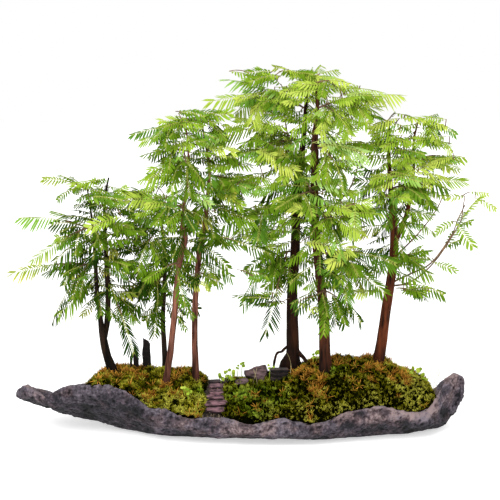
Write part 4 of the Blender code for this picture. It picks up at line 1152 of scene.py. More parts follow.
# %% Limbs and their twigs
# Limbs: stem, height on it, and each twig as (across, away, up, pairs of side fronds) to its tip
LIMBS = {
    "a_crown": ("a_left", 372, [(-60, -15, 16, 0), (-40, -28, -10, 0), (-22, 8, 26, 0), (24, -12, 16, 0)]),
    "a_left_high": ("a_left", 310, [(-103, -12, 17, 0), (-84, -34, -46, 0), (-46, -38, -22, 0)]),
    "a_left_low": ("a_left", 255, [(-130, -5, -20, 0), (-70, -20, -86, 0), (-42, -32, -8, 0)]),
    "a_right_high": ("a_right", 340, [(42, -28, 4, 1), (28, 30, 30, 0), (-22, -34, 8, 0)]),
    "a_right_low": ("a_right", 205, [(54, 5, -28, 1), (42, -35, -84, 0), (-12, 60, 20, 0)]),
    "b_crown": ("b", 350, [(-58, -5, 15, 1), (-44, -50, -12, 0), (-8, 30, 26, 0)]),
    "b_left": ("b", 300, [(-66, -18, 6, 1), (-36, -72, -45, 1)]),
    "b_low": ("b", 240, [(-66, 5, -38, 1), (-42, -45, -68, 0), (-12, -32, -100, 0)]),
    "b_back": ("b", 260, [(45, 40, -25, 0), (-30, 72, 0, 0)]),
    "c_crown": ("c", 466, [(-76, -15, -13, 1), (-10, -8, 26, 0), (-40, 40, 0, 0)]),
    "c_high": ("c", 432, [(-64, -20, -6, 1), (4, -68, -57, 1)]),
    "c_middle": ("c", 350, [(-66, -35, -8, 1), (12, -62, -24, 1)]),
    "c_low": ("c", 265, [(-44, -42, -20, 0), (6, -64, -50, 0)]),
    "d_crown": ("d", 470, [(8, -6, 24, 0), (-34, -25, 4, 0), (46, 14, -8, 1), (34, -30, -20, 0)]),
    "d_middle": ("d", 392, [(78, -15, -24, 1), (46, 42, -44, 1)]),
    "d_low": ("d", 300, [(103, -12, -30, 0)]),
    "d_front": ("d", 245, [(22, -52, -8, 1)]),
    "e_crown": ("e", 530, [(4, 0, 27, 0), (-38, -12, 16, 1), (44, 12, 18, 1)]),
    "e_high": ("e", 492, [(-116, -8, 41, 0), (-142, -32, 9, 1), (-72, -16, 60, 0)]),
    "e_left": ("e", 440, [(-132, -5, 18, 1), (-120, -62, -32, 0), (-98, -14, 37, 0)]),
    "e_front": ("e", 405, [(-28, -76, -14, 1), (-64, -62, 36, 1)]),
    "e_middle": ("e", 340, [(-80, 12, -10, 0), (-122, -45, -28, 1)]),
    "e_low": ("e", 270, [(-74, -28, -22, 1), (-90, 2, -82, 0), (-44, -42, -126, 0)]),
    "e_back": ("e", 365, [(64, 76, 5, 0), (4, 84, -45, 0)]),
    "f_crown": ("f", 528, [(-4, -12, 20, 0), (44, -34, 2, 1)]),
    "f_high": ("f", 495, [(122, -5, 14, 2), (44, -66, -30, 1)]),
    "f_upper": ("f", 435, [(82, -25, 4, 1), (44, -60, -50, 1)]),
    "f_left": ("f", 370, [(-54, -64, -20, 1), (-24, -74, 28, 0)]),
    "f_middle": ("f", 335, [(112, -12, 2, 1), (54, -76, -25, 1), (40, -64, -52, 0)]),
    "f_low": ("f", 275, [(108, -46, -6, 1), (46, -42, -82, 0), (92, -62, -50, 1)]),
    "f_hanging": ("f", 220, [(62, -22, -44, 1), (-38, -46, -24, 0), (4, -44, -60, 0)]),
    "g_crown": ("g", 468, [(-34, -10, 16, 1), (6, 2, 26, 0), (30, -18, -8, 0)]),
    "g_left": ("g", 380, [(-62, -36, -14, 1), (-40, 28, 46, 0)]),
    "g_front": ("g", 372, [(102, -36, 8, 1), (36, -62, -6, 1)]),
    "g_middle": ("g", 258, [(46, -40, 24, 1), (44, 40, 34, 0)]),
    "g_right_crown": ("g_right", 468, [(28, 2, 14, 0), (54, -22, -12, 1), (-12, 18, 22, 0)]),
    "g_right_high": ("g_right", 415, [(78, 6, 0, 1), (56, -42, -18, 0)]),
    "g_long": ("g", 220, [(132, -8, 164, 2), (78, -20, -6, 1)]),
}
TWIG_RADIUS = 1.5
TWIG_END_RADIUS = 0.8
FOOT_CORNER = 1.1  # how far a tilted foot's corner dips towards the stem, in radii
FORK_AT = 5.0  # side twigs leave the main one this far out
ARCH = 0.16  # rise of a limb's middle as a share of its reach
STEEP = 0.5  # a twig that climbs more than this grows out first and then up
FROND_LENGTH = 68.0
FROND_SHARE = 0.6  # a short limb's end frond takes this share of its reach
END_LENGTHS = {"g_long": 42.0}  # a limb that is bare far out ends in a shorter frond
FROND_HALF_WIDTH = 0.27  # as a share of the frond's length
PAIR_SPACING = 30.0
PAIR_SETBACK = 9.0  # the last pair leaves the twig this far before its end frond
SIDE_SHARE, SIDE_LESS = 0.86, 0.06  # a side frond's length for its end frond's, and less for each pair
SHORTEST_SIDE = 34.0
PAIR_ANGLE = math.radians(58)
PAIR_SWING = 0.1  # which changes by up to this either way
TILT = 0.7  # a frond's face turns out to the front or the back by this angle
ROLL = 0.22  # and by up to this one either way
BEHIND = 15.0  # fronds that reach so far behind their stem face the back
SIDE_FALL = (0.2, 0.55)  # least and greatest fall of a side frond for its length
DROOP = 0.2  # drop of a frond's tip as a share of its length
KEEL_FOLD = 0.3  # drop of the leaflets' tips as a share of their length
RIB = 1.2  # a rib's width and depth
STALK = 0.15  # bare share of a frond's rib
GUARD = 1.0  # room kept round stems, twigs and fronds
SIBLING_GUARD = 0.15  # room kept between fronds of one twig
# Bends tried in turn until a frond hangs clear: pitch and yaw in degrees, then share of its length
BENDS = [(0, 0, 1.0)] + [(sign * pitch, sign * yaw, size) for pitch, yaw, size in [
    (9, 0, 1.0), (0, 10, 1.0), (18, 8, 0.95), (27, 0, 0.9), (14, -20, 0.85), (36, 10, 0.8),
    (22, 28, 0.7), (45, 0, 0.65)] for sign in (1, -1)]


def arch(start, crown, tip, share):
    """Point on a curve from start to tip that is pulled towards crown."""
    return start.lerp(crown, share).lerp(crown.lerp(tip, share), share)


def limb_path(start, tip, share):
    """Point and direction on a limb's arch, share of the way from its start to its tip."""
    run = tip - start
    steep = run.z > STEEP * run.xy.length
    crown = start + run * 0.5 + UP * (-0.5 * run.z if steep else ARCH * run.length)
    heading = (crown - start).lerp(tip - crown, share).normalized()
    return arch(start, crown, tip, share), heading


def limb_axis(name):
    """Where a limb leaves the middle of its stem."""
    stem, height, _ = LIMBS[name]
    return stem_at(stem, height)[0]


def plan_twigs(name):
    """The twigs of a limb: start, tip, share of the way where the end frond begins, and pairs."""
    stem, height, tips = LIMBS[name]
    axis, radius = stem_at(stem, height)
    apex = height >= STEMS[stem][-1][2]
    lean = sum((Vector((across, away, 0)) for across, away, *_ in tips), Vector())
    outward = UP if apex else lean.normalized()
    twigs = []
    for across, away, up, pairs in tips:
        tip = axis + Vector((across, away, up))
        if twigs:
            main_start, main_tip = twigs[0][:2]
            start, _ = limb_path(main_start, main_tip, FORK_AT / (main_tip - main_start).length)
        else:
            _, heading = limb_path(axis, tip, 0.0)
            tilt = math.sqrt(max(0.0, 1.0 - heading.dot(outward) ** 2))
            foot_room = CLEAR + TWIG_RADIUS * FOOT_CORNER * tilt
            start = axis + outward * ((0 if apex else radius) + foot_room)
        reach = (tip - start).length
        longest = END_LENGTHS.get(name, FROND_LENGTH)
        share = 1.0 - min(longest, reach * FROND_SHARE) / reach
        twigs.append((start, tip, share, pairs))
    return twigs


def frond_frame(origin, heading, roll):
    """Axes of a frond: along its rib, to its left and out of its upper face."""
    side = UP.cross(heading)
    side = side.normalized() if side.length > 0.05 else Vector((0, 1, 0))
    side.rotate(Matrix.Rotation(roll, 3, heading))
    return origin, heading, side, heading.cross(side)


def frond_width(share):
    """Half width of a frond at a share of its length, as a share of the widest."""
    return math.sin(math.pi * max(0.0, 1.03 * share - STALK * 0.8)) ** 0.7


def frond_point(frame, length, run, across, height=0.0):
    origin, heading, side, face = frame
    drop = DROOP * length * (run / length) ** 2 + KEEL_FOLD * abs(across)
    return origin + heading * run + side * across + face * (height - drop)


def face_roll(heading, behind, draw):
    """Roll that turns a frond's upper face to the front, or to the back where it hangs behind."""
    turned_out = TILT * UP.cross(heading).y * (-1 if behind else 1)
    return turned_out + draw.uniform(-ROLL, ROLL)


def side_heading(heading, hand, swing, fall, draw):
    """Where a side frond points that leaves a twig to one hand and falls a little."""
    outward = heading.copy()
    outward.rotate(Matrix.Rotation(hand * PAIR_ANGLE + draw.uniform(-swing, swing), 3, UP))
    outward.z -= draw.uniform(*fall)
    return outward.normalized()


def plan_fronds(name, draw):
    """Each frond that a limb would carry: origin, heading, roll, length and the twig's number."""
    wanted, axis = [], limb_axis(name)
    for number, (start, tip, share, pairs) in enumerate(plan_twigs(name)):
        reach = (tip - start).length
        length = (1.0 - share) * reach
        origin, heading = limb_path(start, tip, share)
        behind = tip.y > axis.y + BEHIND
        wanted.append((origin, heading, face_roll(heading, behind, draw), length, number))
        for pair in range(pairs):
            place = share - (PAIR_SETBACK + pair * PAIR_SPACING) / reach
            if place * reach < PAIR_SETBACK:
                break
            origin, heading = limb_path(start, tip, place)
            for hand in (-1, 1):
                outward = side_heading(heading, hand, PAIR_SWING, SIDE_FALL, draw)
                behind = (origin + outward * length).y > axis.y + BEHIND
                side_length = length * (SIDE_SHARE - SIDE_LESS * pair) * draw.uniform(0.92, 1.08)
                side_length = min(max(SHORTEST_SIDE, side_length), FROND_LENGTH)
                wanted.append((origin, outward, face_roll(outward, behind, draw), side_length, number))
    return wanted


def slab_guard(frame, length, room):
    """A thin plate round a frond's leaflets."""
    bm = bmesh.new()
    bmesh.ops.create_cube(bm, size=2)
    lengthwise = [edge for edge in bm.edges if abs(edge.verts[0].co.x - edge.verts[1].co.x) > 1]
    bmesh.ops.subdivide_edges(bm, edges=lengthwise, cuts=3, use_grid_fill=True)
    for vert in bm.verts:
        share = STALK + (1.0 - STALK) * (vert.co.x + 1) / 2
        across = FROND_HALF_WIDTH * length * frond_width(share) + room
        vert.co = frond_point(frame, length, share * length, vert.co.y * across,
                              vert.co.z * (room + RIB / 2) - RIB / 2)
    return bm


def tube_guard(points):
    """Stubby round pieces round a stem or a twig."""
    bm = bmesh.new()
    for (x0, y0, z0, r0), (x1, y1, z1, r1) in zip(points, points[1:]):
        low, high = Vector((x0, y0, z0)), Vector((x1, y1, z1))
        turned = (high - low).to_track_quat("Z", "Y").to_matrix().to_4x4()
        bmesh.ops.create_cone(bm, cap_ends=True, segments=8, radius1=r0 * 1.08 + GUARD,
                              radius2=r1 * 1.08 + GUARD, depth=(high - low).length,
                              matrix=Matrix.Translation((low + high) / 2) @ turned)
    return bm


def tree_of(bm):
    found = BVHTree.FromBMesh(bm)
    bm.free()
    return found


def bent(frond, bend):
    origin, heading, roll, length = frond[:4]
    pitch, yaw, size = bend
    turned = heading.copy()
    across = UP.cross(heading).normalized() if UP.cross(heading).length > 0.05 else Vector((0, 1, 0))
    turned.rotate(Matrix.Rotation(math.radians(-pitch), 3, across))
    turned.rotate(Matrix.Rotation(math.radians(yaw), 3, UP))
    return frond_frame(origin, turned, roll), length * size


def twig_radius(stop, share):
    return TWIG_RADIUS + (TWIG_END_RADIUS - TWIG_RADIUS) * stop / share


def twig_points(start, tip, share):
    """The twig's route, tapering, up to the foot of its end frond."""
    stops = [0.0, share * 0.5, share]
    return [(*limb_path(start, tip, stop)[0], twig_radius(stop, share)) for stop in stops]


def settle_all():
    """Bends every frond of every limb until it hangs clear of the other limbs and the stems."""
    taken = [("stem", None, tree_of(tube_guard(points))) for points in STEMS.values()]
    for name in LIMBS:
        for number, (start, tip, share, _) in enumerate(plan_twigs(name)):
            guard = tree_of(tube_guard(twig_points(start, tip, share)))
            taken.append((name, number, guard))
    settled = {}
    for count, name in enumerate(LIMBS):
        settled[name] = []
        siblings = {}
        for frond in plan_fronds(name, random.Random(100 + count)):
            number = frond[4]
            near = siblings.setdefault(number, [])
            for bend in BENDS:
                frame, length = bent(frond, bend)
                guard = tree_of(slab_guard(frame, length, GUARD))
                slim = tree_of(slab_guard(frame, length, SIBLING_GUARD))
                others = [other for *owner, other in taken if owner != [name, number]]
                if not (any(map(guard.overlap, others)) or any(map(slim.overlap, near))):
                    taken.append((name, number, guard))
                    near.append(slim)
                    settled[name].append((frame, length))
                    break
    return settled


settled = settle_all()
print(sum(len(fronds) for fronds in settled.values()), "fronds hang clear on", len(settled), "limbs")
for name, stems in TREES.items():
    finish = bark_finish(name + "_bark", *BARKS[name])
    dress(name + "_bark", barked_trunk(name, stems), [finish], "bark", name, smooth=True)

# %% [markdown]
# ## One frond
# A dawn redwood's frond is a green branchlet with two rows of flat soft needles in pairs. A needle is
# a strap with a point at both ends: a ring of three points is extruded once, and its two ends are
# poked to points. That is twelve triangles, few enough for thousands of needles. The rib is the same
# shape with more rings, so that it can bend.

# %% Frond shapes
NEEDLE_SPACING = 3.7
NEEDLE_WIDTH = 2.8
NEEDLE_THICKNESS = 0.55
NEEDLE_ANGLES = (64, 30)  # to the rib, at the frond's foot and at its tip
SHORTEST_NEEDLE = 3.5
MISSING = 0.05  # so many needles have dropped
RIB_WIDTH = 1.0
POINT_DEPTH = 0.4  # a strap's points lie this far down in its thickness
FROND_SIZES = [30, 38, 46, 56, 68]
VARIANTS = 3


def strap(bm, stops, thickness):
    """A three-sided strap along +X through (x, half width) stops, its first and last being points."""
    ring_stops = stops[1:-1]
    verts = bmesh.ops.create_circle(bm, cap_ends=True, segments=3, radius=1)["verts"]
    x, half = ring_stops[0]
    for vert, (across, down) in zip(verts, [(1, 0), (-1, 0), (0, -1)]):
        vert.co = (x, across * half, down * thickness)
    first = last = verts[0].link_faces[0]
    for before, (x, half) in zip(ring_stops, ring_stops[1:]):
        upper, (last,) = extruded(bm, [last])
        for vert in upper:
            vert.co.x = x
            vert.co.y *= half / before[1]
        verts += upper
    tips = bmesh.ops.poke(bm, faces=[first, last])["verts"]
    for vert, (x, _) in zip(tips, (stops[0], stops[-1])):
        vert.co = (x, 0, -thickness * POINT_DEPTH)
    return verts + tips


def frond_shape(length, seed):
    """A flat frond along +X: needles to both sides and the rib, as points and triangles."""
    draw = random.Random(seed)
    bm = bmesh.new()
    pairs = round(length * (1 - STALK) / NEEDLE_SPACING)
    for step in range(pairs):
        share = STALK + (0.985 - STALK) * step / (pairs - 1)
        half = max(SHORTEST_NEEDLE, FROND_HALF_WIDTH * length * frond_width(share))
        turn = NEEDLE_ANGLES[0] + (NEEDLE_ANGLES[1] - NEEDLE_ANGLES[0]) * share ** 2.5
        for hand in (-1, 1):
            if draw.random() < MISSING:
                continue
            angle = math.radians(turn + draw.uniform(-7, 7))
            reach = half / math.sin(math.radians(turn)) * draw.uniform(0.82, 1.08)
            width = NEEDLE_WIDTH / 2 * draw.uniform(0.85, 1.1)
            stops = [(0, 0), (reach * 0.22, width), (reach * 0.72, width * 0.85), (reach, 0)]
            verts = strap(bm, stops, NEEDLE_THICKNESS)
            twist = Matrix.Rotation(hand * draw.uniform(-0.3, 0.6), 4, "X")
            place = Matrix.Translation((share * length + draw.uniform(-0.6, 0.6), 0, 0))
            bmesh.ops.transform(bm, matrix=place @ Matrix.Rotation(hand * angle, 4, "Z") @ twist,
                                verts=verts)
    rib = [(length * stop, RIB_WIDTH / 2 * (1 - 0.6 * stop)) for stop in np.linspace(0.0, 0.97, 8)]
    strap(bm, [(-1.5, 0), *rib, (length, 0)], RIB_WIDTH * 0.8)
    return read_bmesh(bm)


FRONDS = {size: [frond_shape(size, size * 10 + seed) for seed in range(VARIANTS)] for size in FROND_SIZES}
print("fronds of", [len(FRONDS[size][0][1]) for size in FROND_SIZES], "triangles")

# %% [markdown]
# Young growth on top and at the ends of the twigs is bright yellow-green, with pale ribs and here and
# there a yellowing tip. Inside and below it is a deeper green, and the tint adds painted shade there and
# painted light on top and outside. Four marks tell the shader so: the frond's tint, how far out along
# the needle a point is, a draw for each frond, and how yellow it is.

# %% Leaf finish
COOL_GREEN = (0.74, 0.95, 2.0)  # what some fronds make of their green
RIB_GREEN = (0.40, 0.43, 0.09)
YELLOWING = (0.60, 0.53, 0.09)


def leaf_finish():
    made, tree, skin = new_material("soft_needles", 0.5, 0.0)
    tint, reach, lot, yellow = attribute(tree, "marks")
    stops = [(0.0, (0.006, 0.018, 0.001)), (0.3, (0.026, 0.064, 0.003)), (0.6, (0.105, 0.20, 0.009)),
             (0.85, (0.25, 0.39, 0.028)), (1.0, (0.43, 0.53, 0.08))]
    green = ramp(tree, total(tree, tint, times(tree, grain(tree, 14, 2), 0.16)), stops)
    cool = blend(tree, 1.0, green, COOL_GREEN, "MULTIPLY")
    green = blend(tree, ramp(tree, lot, [(0.72, (0, 0, 0)), (0.86, (0.8, 0.8, 0.8))]), green, cool)
    middle = ramp(tree, reach, [(0.03, (1, 1, 1)), (0.18, (0, 0, 0))])
    ribbed = blend(tree, times(tree, middle, 0.7), green, RIB_GREEN)
    tree.links.new(blend(tree, yellow, ribbed, YELLOWING), skin.inputs["Base Color"])
    return made


def twig_finish():
    made, tree, skin = new_material("twig_bark", 0.8)
    fibre = grain(tree, 5, 4, (1, 1, 2))
    bark = ramp(tree, fibre, [(0.35, (0.06, 0.03, 0.015)), (0.7, (0.26, 0.15, 0.07))])
    tree.links.new(bark, skin.inputs["Base Color"])
    return made


LEAF, TWIG = leaf_finish(), twig_finish()

# %% [markdown]
# ## Lay the fronds
# A flat frond is laid along its place by the rule that shaped the solids: it droops towards its tip
# and folds down to both sides of its rib. numpy bends all its points at once. Its tint follows its
# place in the forest, bright high up and far out, dark low and near the stem, partly for young growth
# and partly as painted light and shade.

# %% Bend and tint a frond
HEIGHT_SPAN = (150.0, 540.0)  # heights between which fronds turn from dark to bright
TINT_LOW, TINT_RISE, TINT_OUT, TINT_DRAW = 0.15, 0.36, 0.24, 0.24
# Painted shade that evens out the key lamp, which falls strongest on the left.
TINT_SIDE = 0.0003  # fronds get brighter by so much for each millimetre to the right
TINT_TIP = 0.1  # and by so much from a frond's foot to its tip
# Painted light: a frond's tint brightens with its distance from the stem.
OUT_REACH = 110.0  # this far from its stem a frond is fully in the light
YELLOW_SHARE = 0.1  # so many fronds have yellowing tips
SWAY = 0.12  # how far a rib bends to one side, as a share of its length
HANG = (0.0, 0.7)  # how far a needle's tip hangs, as a share of its reach


def lay_frond(heap, axes, length, tint, yellow, draw, hang):
    origin, heading, side, face = [np.array(axis) for axis in axes]
    size = min(FROND_SIZES, key=lambda known: abs(known - length))
    points, triangles = FRONDS[size][draw.randrange(VARIANTS)]
    run, across, height = (points * (length / size)).T
    reach = np.clip(np.abs(across) / (FROND_HALF_WIDTH * length), 0, 1)
    fold = KEEL_FOLD * draw.uniform(0.3, 2.0)
    across = across + draw.uniform(-SWAY, SWAY) * length * (run / length) ** 2
    drop = DROOP * length * (run / length) ** 2 + fold * np.abs(across) * (0.6 + 0.7 * reach)
    laid = origin + np.outer(run, heading) + np.outer(across, side) + np.outer(height - drop, face)
    laid[:, 2] -= hang * np.abs(across)
    tip = np.clip(run / length, 0, 1)
    # Painted shade that evens out the key lamp: fronds to the left are darker.
    tint += TINT_SIDE * origin[0]
    marks = np.column_stack([np.clip(tint + TINT_TIP * (tip - 0.5), 0, 1), reach,
                             np.full(len(points), draw.random()), yellow * (0.3 + 0.7 * tip) * reach])
    heap.add(laid, triangles, marks)


def lay_by_place(heap, axes, length, axis, draw):
    """Lays a frond tinted by its height, its distance from the stem and a draw."""
    tip = axes[0] + axes[1] * length
    low, high = HEIGHT_SPAN
    rise = clamped((tip.z - low) / (high - low))
    out = min(1.0, (tip - axis).xy.length / OUT_REACH)
    # Painted light and shade, partly young growth: fronds high up and far out are brighter, those low and
    # near the stem darker.
    tint = TINT_LOW + TINT_RISE * rise + TINT_OUT * out + draw.uniform(-TINT_DRAW, TINT_DRAW)
    yellow = draw.uniform(0.3, 0.9) if draw.random() < YELLOW_SHARE else 0.0
    lay_frond(heap, axes, length, tint, yellow, draw, draw.uniform(*HANG))


# %% [markdown]
# The solids carry only as many fronds as keep clear of each other. A real limb carries more, so the
# twigs get smaller fronds between those, and the stems get short sprigs of their own. None of them
# may run into a stem, which a distance test tells.

# %% Fronds between the fronds
FILL_SPACING = 10.0  # the twigs' own small fronds stand this far apart
FILL_LENGTH = (26, 46)
FILL_SWING, FILL_FALL = 0.25, (0.5, -0.15)  # how freely they turn, and how far they fall
COMB_SPACING = 25.0  # a twig without side fronds carries needles along its own length
COMB_LENGTH = (34, 46)
BARE_LIMBS = ["g_long"]
COMB_BARE = 0.5  # past this share of its length it carries nothing else
BARE_FOOT = 6.0  # nothing grows so near a twig's foot
STEM_ROOM = 3.0  # room kept between such a frond's rib and a stem
TWIG_RINGS = 10  # rings of points along a twig
TWIG_MARKS = (0.5, 0, 0, 0)  # the twigs' finish reads none of them


def clear_of_stems(axes, length):
    for share in (0.35, 0.65, 1.0):
        point = frond_point(axes, length, length * share, 0.0)
        for stem, points in STEMS.items():
            if points[0][2] < point.z < points[-1][2]:
                axis, radius = stem_at(stem, point.z)
                if (point - axis).xy.length < radius + STEM_ROOM:
                    return False
    return True


def comb_fronds(start, tip, share, axis, draw):
    """Fronds that follow a twig's own path, one behind the other."""
    reach = (tip - start).length
    place = share * reach - COMB_SPACING
    while place > COMB_SPACING / 3:
        origin, heading = limb_path(start, tip, place / reach)
        behind = origin.y > axis.y + BEHIND
        yield frond_frame(origin, heading, face_roll(heading, behind, draw)), draw.uniform(*COMB_LENGTH)
        place -= COMB_SPACING


def side_fronds(start, tip, share, axis, draw):
    """Small fronds to both sides of a twig."""
    reach = (tip - start).length
    place = share * reach - FILL_SPACING / 2
    while place > BARE_FOOT:
        origin, heading = limb_path(start, tip, place / reach)
        for hand in (-1, 1):
            outward = side_heading(heading, hand, FILL_SWING, FILL_FALL, draw)
            length = draw.uniform(*FILL_LENGTH)
            behind = (origin + outward * length).y > axis.y + BEHIND
            yield frond_frame(origin, outward, face_roll(outward, behind, draw)), length
        place -= FILL_SPACING * draw.uniform(0.85, 1.2)


def fill_fronds(name, draw):
    """Fronds along a limb's twigs, between the ones that the solids have."""
    found, axis = [], limb_axis(name)
    if name in BARE_LIMBS:
        return found
    for start, tip, share, pairs in plan_twigs(name):
        found += side_fronds(start, tip, share if pairs else share * COMB_BARE, axis, draw)
        if not pairs:
            found += comb_fronds(start, tip, share, axis, draw)
    return [(axes, length) for axes, length in found if clear_of_stems(axes, length)]


def twig_routes(name):
    """Routes of a limb's twigs from inside the stem to their end fronds."""
    routes = []
    for start, tip, share, _ in plan_twigs(name):
        stops = np.linspace(0.0, share, TWIG_RINGS)
        routes.append([(*limb_path(start, tip, stop)[0], twig_radius(stop, share)) for stop in stops])
    routes[0].insert(0, (*limb_axis(name), TWIG_RADIUS * 1.2))
    return routes


def dress_limb(name, fronds, seed):
    draw = random.Random(seed)
    heap = Heap()
    heap.add(*read_mesh(tubes(name, twig_routes(name), 2)), TWIG_MARKS, slot=1)
    for axes, length in fronds + fill_fronds(name, draw):
        lay_by_place(heap, axes, length, limb_axis(name), draw)
    dress("foliage_" + name, heap, [LEAF, TWIG], "frond", "limb_" + name)


for seed, (name, fronds) in enumerate(settled.items(), 500):
    dress_limb(name, fronds, seed)

# %% [markdown]
# Short sprigs sprout straight from the stems, each turned on from the last by the golden angle, so
# that they spread evenly round it. They close the middle of the crowns.

# %% Sprigs on the stems
SPRIG_SPANS = {"a_left": (200, 372), "a_right": (190, 384), "b": (170, 350), "c": (285, 464),
               "d": (265, 468), "e": (235, 528), "f": (205, 526), "g": (235, 466), "g_right": (330, 466)}
SPRIG_SPACING = 4.8  # one sprig for so much stem
SPRIG_LENGTH = (28, 54)
GOLDEN = math.radians(137.5)
TOP_SHORTER = 0.5  # sprigs at the very top are shorter by this share
TOP = 60.0  # and they begin to get shorter so far below it


def dress_sprigs(stem, seed):
    draw = random.Random(seed)
    low, high = SPRIG_SPANS[stem]
    heap = Heap()
    turn, z = draw.uniform(0, 6), low
    while z < high:
        axis, radius = stem_at(stem, z)
        turn += GOLDEN
        length = draw.uniform(*SPRIG_LENGTH) * (1 - TOP_SHORTER * max(0.0, 1 - (high - z) / TOP))
        heading = Vector((math.cos(turn), math.sin(turn), draw.uniform(-0.6, 0.4))).normalized()
        behind = heading.y > 0.3
        axes = frond_frame(axis + heading * radius * 0.8, heading, face_roll(heading, behind, draw))
        if clear_of_stems(axes, length):
            lay_by_place(heap, axes, length, axis, draw)
        z += SPRIG_SPACING * draw.uniform(0.7, 1.3)
    dress("sprigs_" + stem, heap, [LEAF], "frond")


for seed, stem in enumerate(SPRIG_SPANS, 900):
    dress_sprigs(stem, seed)

# %% [markdown]
# Some fronds are seen one by one from the front: the combs that reach out at the sides, the pale
# young ones and those that hang. They are picked out as the camera sees their foot and tip in a
# picture of 500 x 500, and a ray from the camera finds that place at the depth given. Each hangs on a
# thin reddish twig that arches out from the nearest stem, twig or rib of its tree.

# %% Fronds picked out one by one
PICTURE = 500
SENSOR = 36.0  # width of Blender's camera sensor, mm
# Foot across and down, tip across and down (pixels), y of foot and tip (mm), and in hundredths how far
# the frond's face is turned to the camera and its tint
PICKED = {
    "a": [(92, 228, 57, 212, 5, 0, 20, 60), (121, 217, 92, 229, -20, -45, 80, 85),
        (104, 196, 96, 181, 5, 0, 60, 70), (104, 196, 90, 190, 5, -5, 60, 70),
        (112, 197, 124, 187, 8, 0, 60, 75), (96, 281, 52, 320, 0, -25, 40, 60),
        (95, 232, 36, 268, 0, -20, 40, 35), (93, 258, 14, 277, 5, -10, 30, 35)],
    "b": [(160, 186, 138, 197, 40, 25, 60, 70), (165, 196, 128, 208, 10, -20, 80, 85),
        (163, 252, 150, 275, 35, 15, 80, 45), (163, 252, 182, 268, 35, 15, 80, 45),
        (150, 236, 118, 246, 40, 30, 40, 50), (160, 262, 128, 272, 45, 40, 30, 30),
        (162, 284, 178, 300, 45, 35, 60, 35)],
    "c": [(178, 133, 144, 140, -30, -45, 40, 65), (187, 160, 150, 178, -30, -55, 50, 65),
        (190, 194, 208, 204, -40, -60, 70, 85), (197, 145, 171, 152, -35, -50, 70, 80),
        (178, 300, 192, 316, -25, -40, 40, 40), (177, 315, 185, 328, -25, -38, 40, 40)],
    "d": [(205, 112, 218, 118, 0, -8, 50, 75), (203, 145, 230, 156, -15, -35, 80, 90),
        (208, 160, 232, 160, -5, -20, 70, 60), (208, 181, 234, 188, 0, -12, 30, 65),
        (215, 194, 240, 205, -5, -25, 60, 70), (208, 210, 250, 222, -5, -25, 60, 55),
        (206, 240, 240, 246, 0, -10, 20, 55), (180, 280, 204, 292, -30, -45, 80, 95)],
    "e": [(284, 88, 262, 68, 40, 30, 35, 80), (280, 97, 248, 92, 35, 25, 50, 85),
        (300, 112, 268, 112, 35, 20, 60, 75), (255, 147, 290, 171, 0, -30, 70, 95),
        (300, 150, 278, 152, 30, 15, 70, 70), (300, 230, 268, 232, 25, 5, 60, 85),
        (275, 232, 250, 241, 5, -8, 60, 90), (290, 243, 268, 250, 20, 5, 70, 70),
        (275, 297, 240, 299, 30, 15, 40, 50), (300, 94, 272, 91, 25, 8, 50, 75),
        (296, 104, 264, 101, 25, 5, 50, 70), (306, 98, 290, 106, 15, -5, 80, 85),
        (318, 84, 345, 82, 32, 22, 40, 90), (304, 122, 276, 118, 20, 0, 60, 70),
        (308, 70, 301, 86, 35, 20, 90, 60), (312, 72, 318, 86, 35, 20, 90, 60)],
    "f": [(340, 88, 378, 93, -10, -25, 40, 95), (330, 102, 362, 112, -15, -35, 50, 75),
        (318, 90, 296, 96, -15, -35, 60, 85), (330, 108, 375, 112, -10, -25, 50, 80),
        (325, 112, 308, 120, -20, -35, 80, 55), (312, 143, 352, 135, -25, -45, 60, 95),
        (315, 143, 365, 152, -25, -50, 50, 90), (340, 128, 368, 126, -15, -28, 50, 80),
        (302, 178, 340, 186, -30, -50, 60, 85), (318, 216, 283, 210, -40, -60, 60, 95),
        (318, 216, 345, 208, -40, -52, 50, 85), (355, 205, 355, 235, -55, -75, 100, 80),
        (300, 243, 350, 250, -40, -60, 50, 90), (355, 250, 333, 265, -50, -70, 80, 95),
        (320, 255, 320, 272, -50, -65, 100, 30), (312, 310, 326, 330, -20, -35, 40, 40),
        (298, 303, 315, 313, -20, -35, 70, 90)],
    "g": [(394, 130, 376, 136, 10, -8, 70, 65), (418, 124, 402, 130, 18, 4, 60, 65),
        (420, 128, 440, 131, 16, 4, 50, 75), (416, 138, 398, 146, 12, -5, 70, 60),
        (420, 144, 444, 148, 15, 2, 50, 65), (390, 146, 368, 150, 10, -8, 60, 60),
        (392, 150, 416, 157, 8, -12, 60, 70), (395, 113, 415, 120, 20, 8, 50, 70),
        (440, 140, 450, 150, 10, 0, 60, 70), (395, 174, 430, 170, 0, -20, 50, 85),
        (390, 160, 362, 159, 5, -15, 50, 50), (400, 210, 428, 219, 5, -15, 60, 60),
        (405, 225, 418, 227, 10, 0, 60, 60), (465, 196, 448, 202, 10, 0, 90, 75),
        (470, 192, 483, 194, 12, 5, 50, 70), (475, 198, 494, 208, 12, 5, 50, 70),
        (455, 221, 440, 232, 8, -5, 100, 60), (455, 221, 468, 247, 8, -8, 100, 60),
        (432, 258, 408, 262, 5, -8, 60, 60), (432, 262, 453, 272, 5, -8, 60, 60)],
}
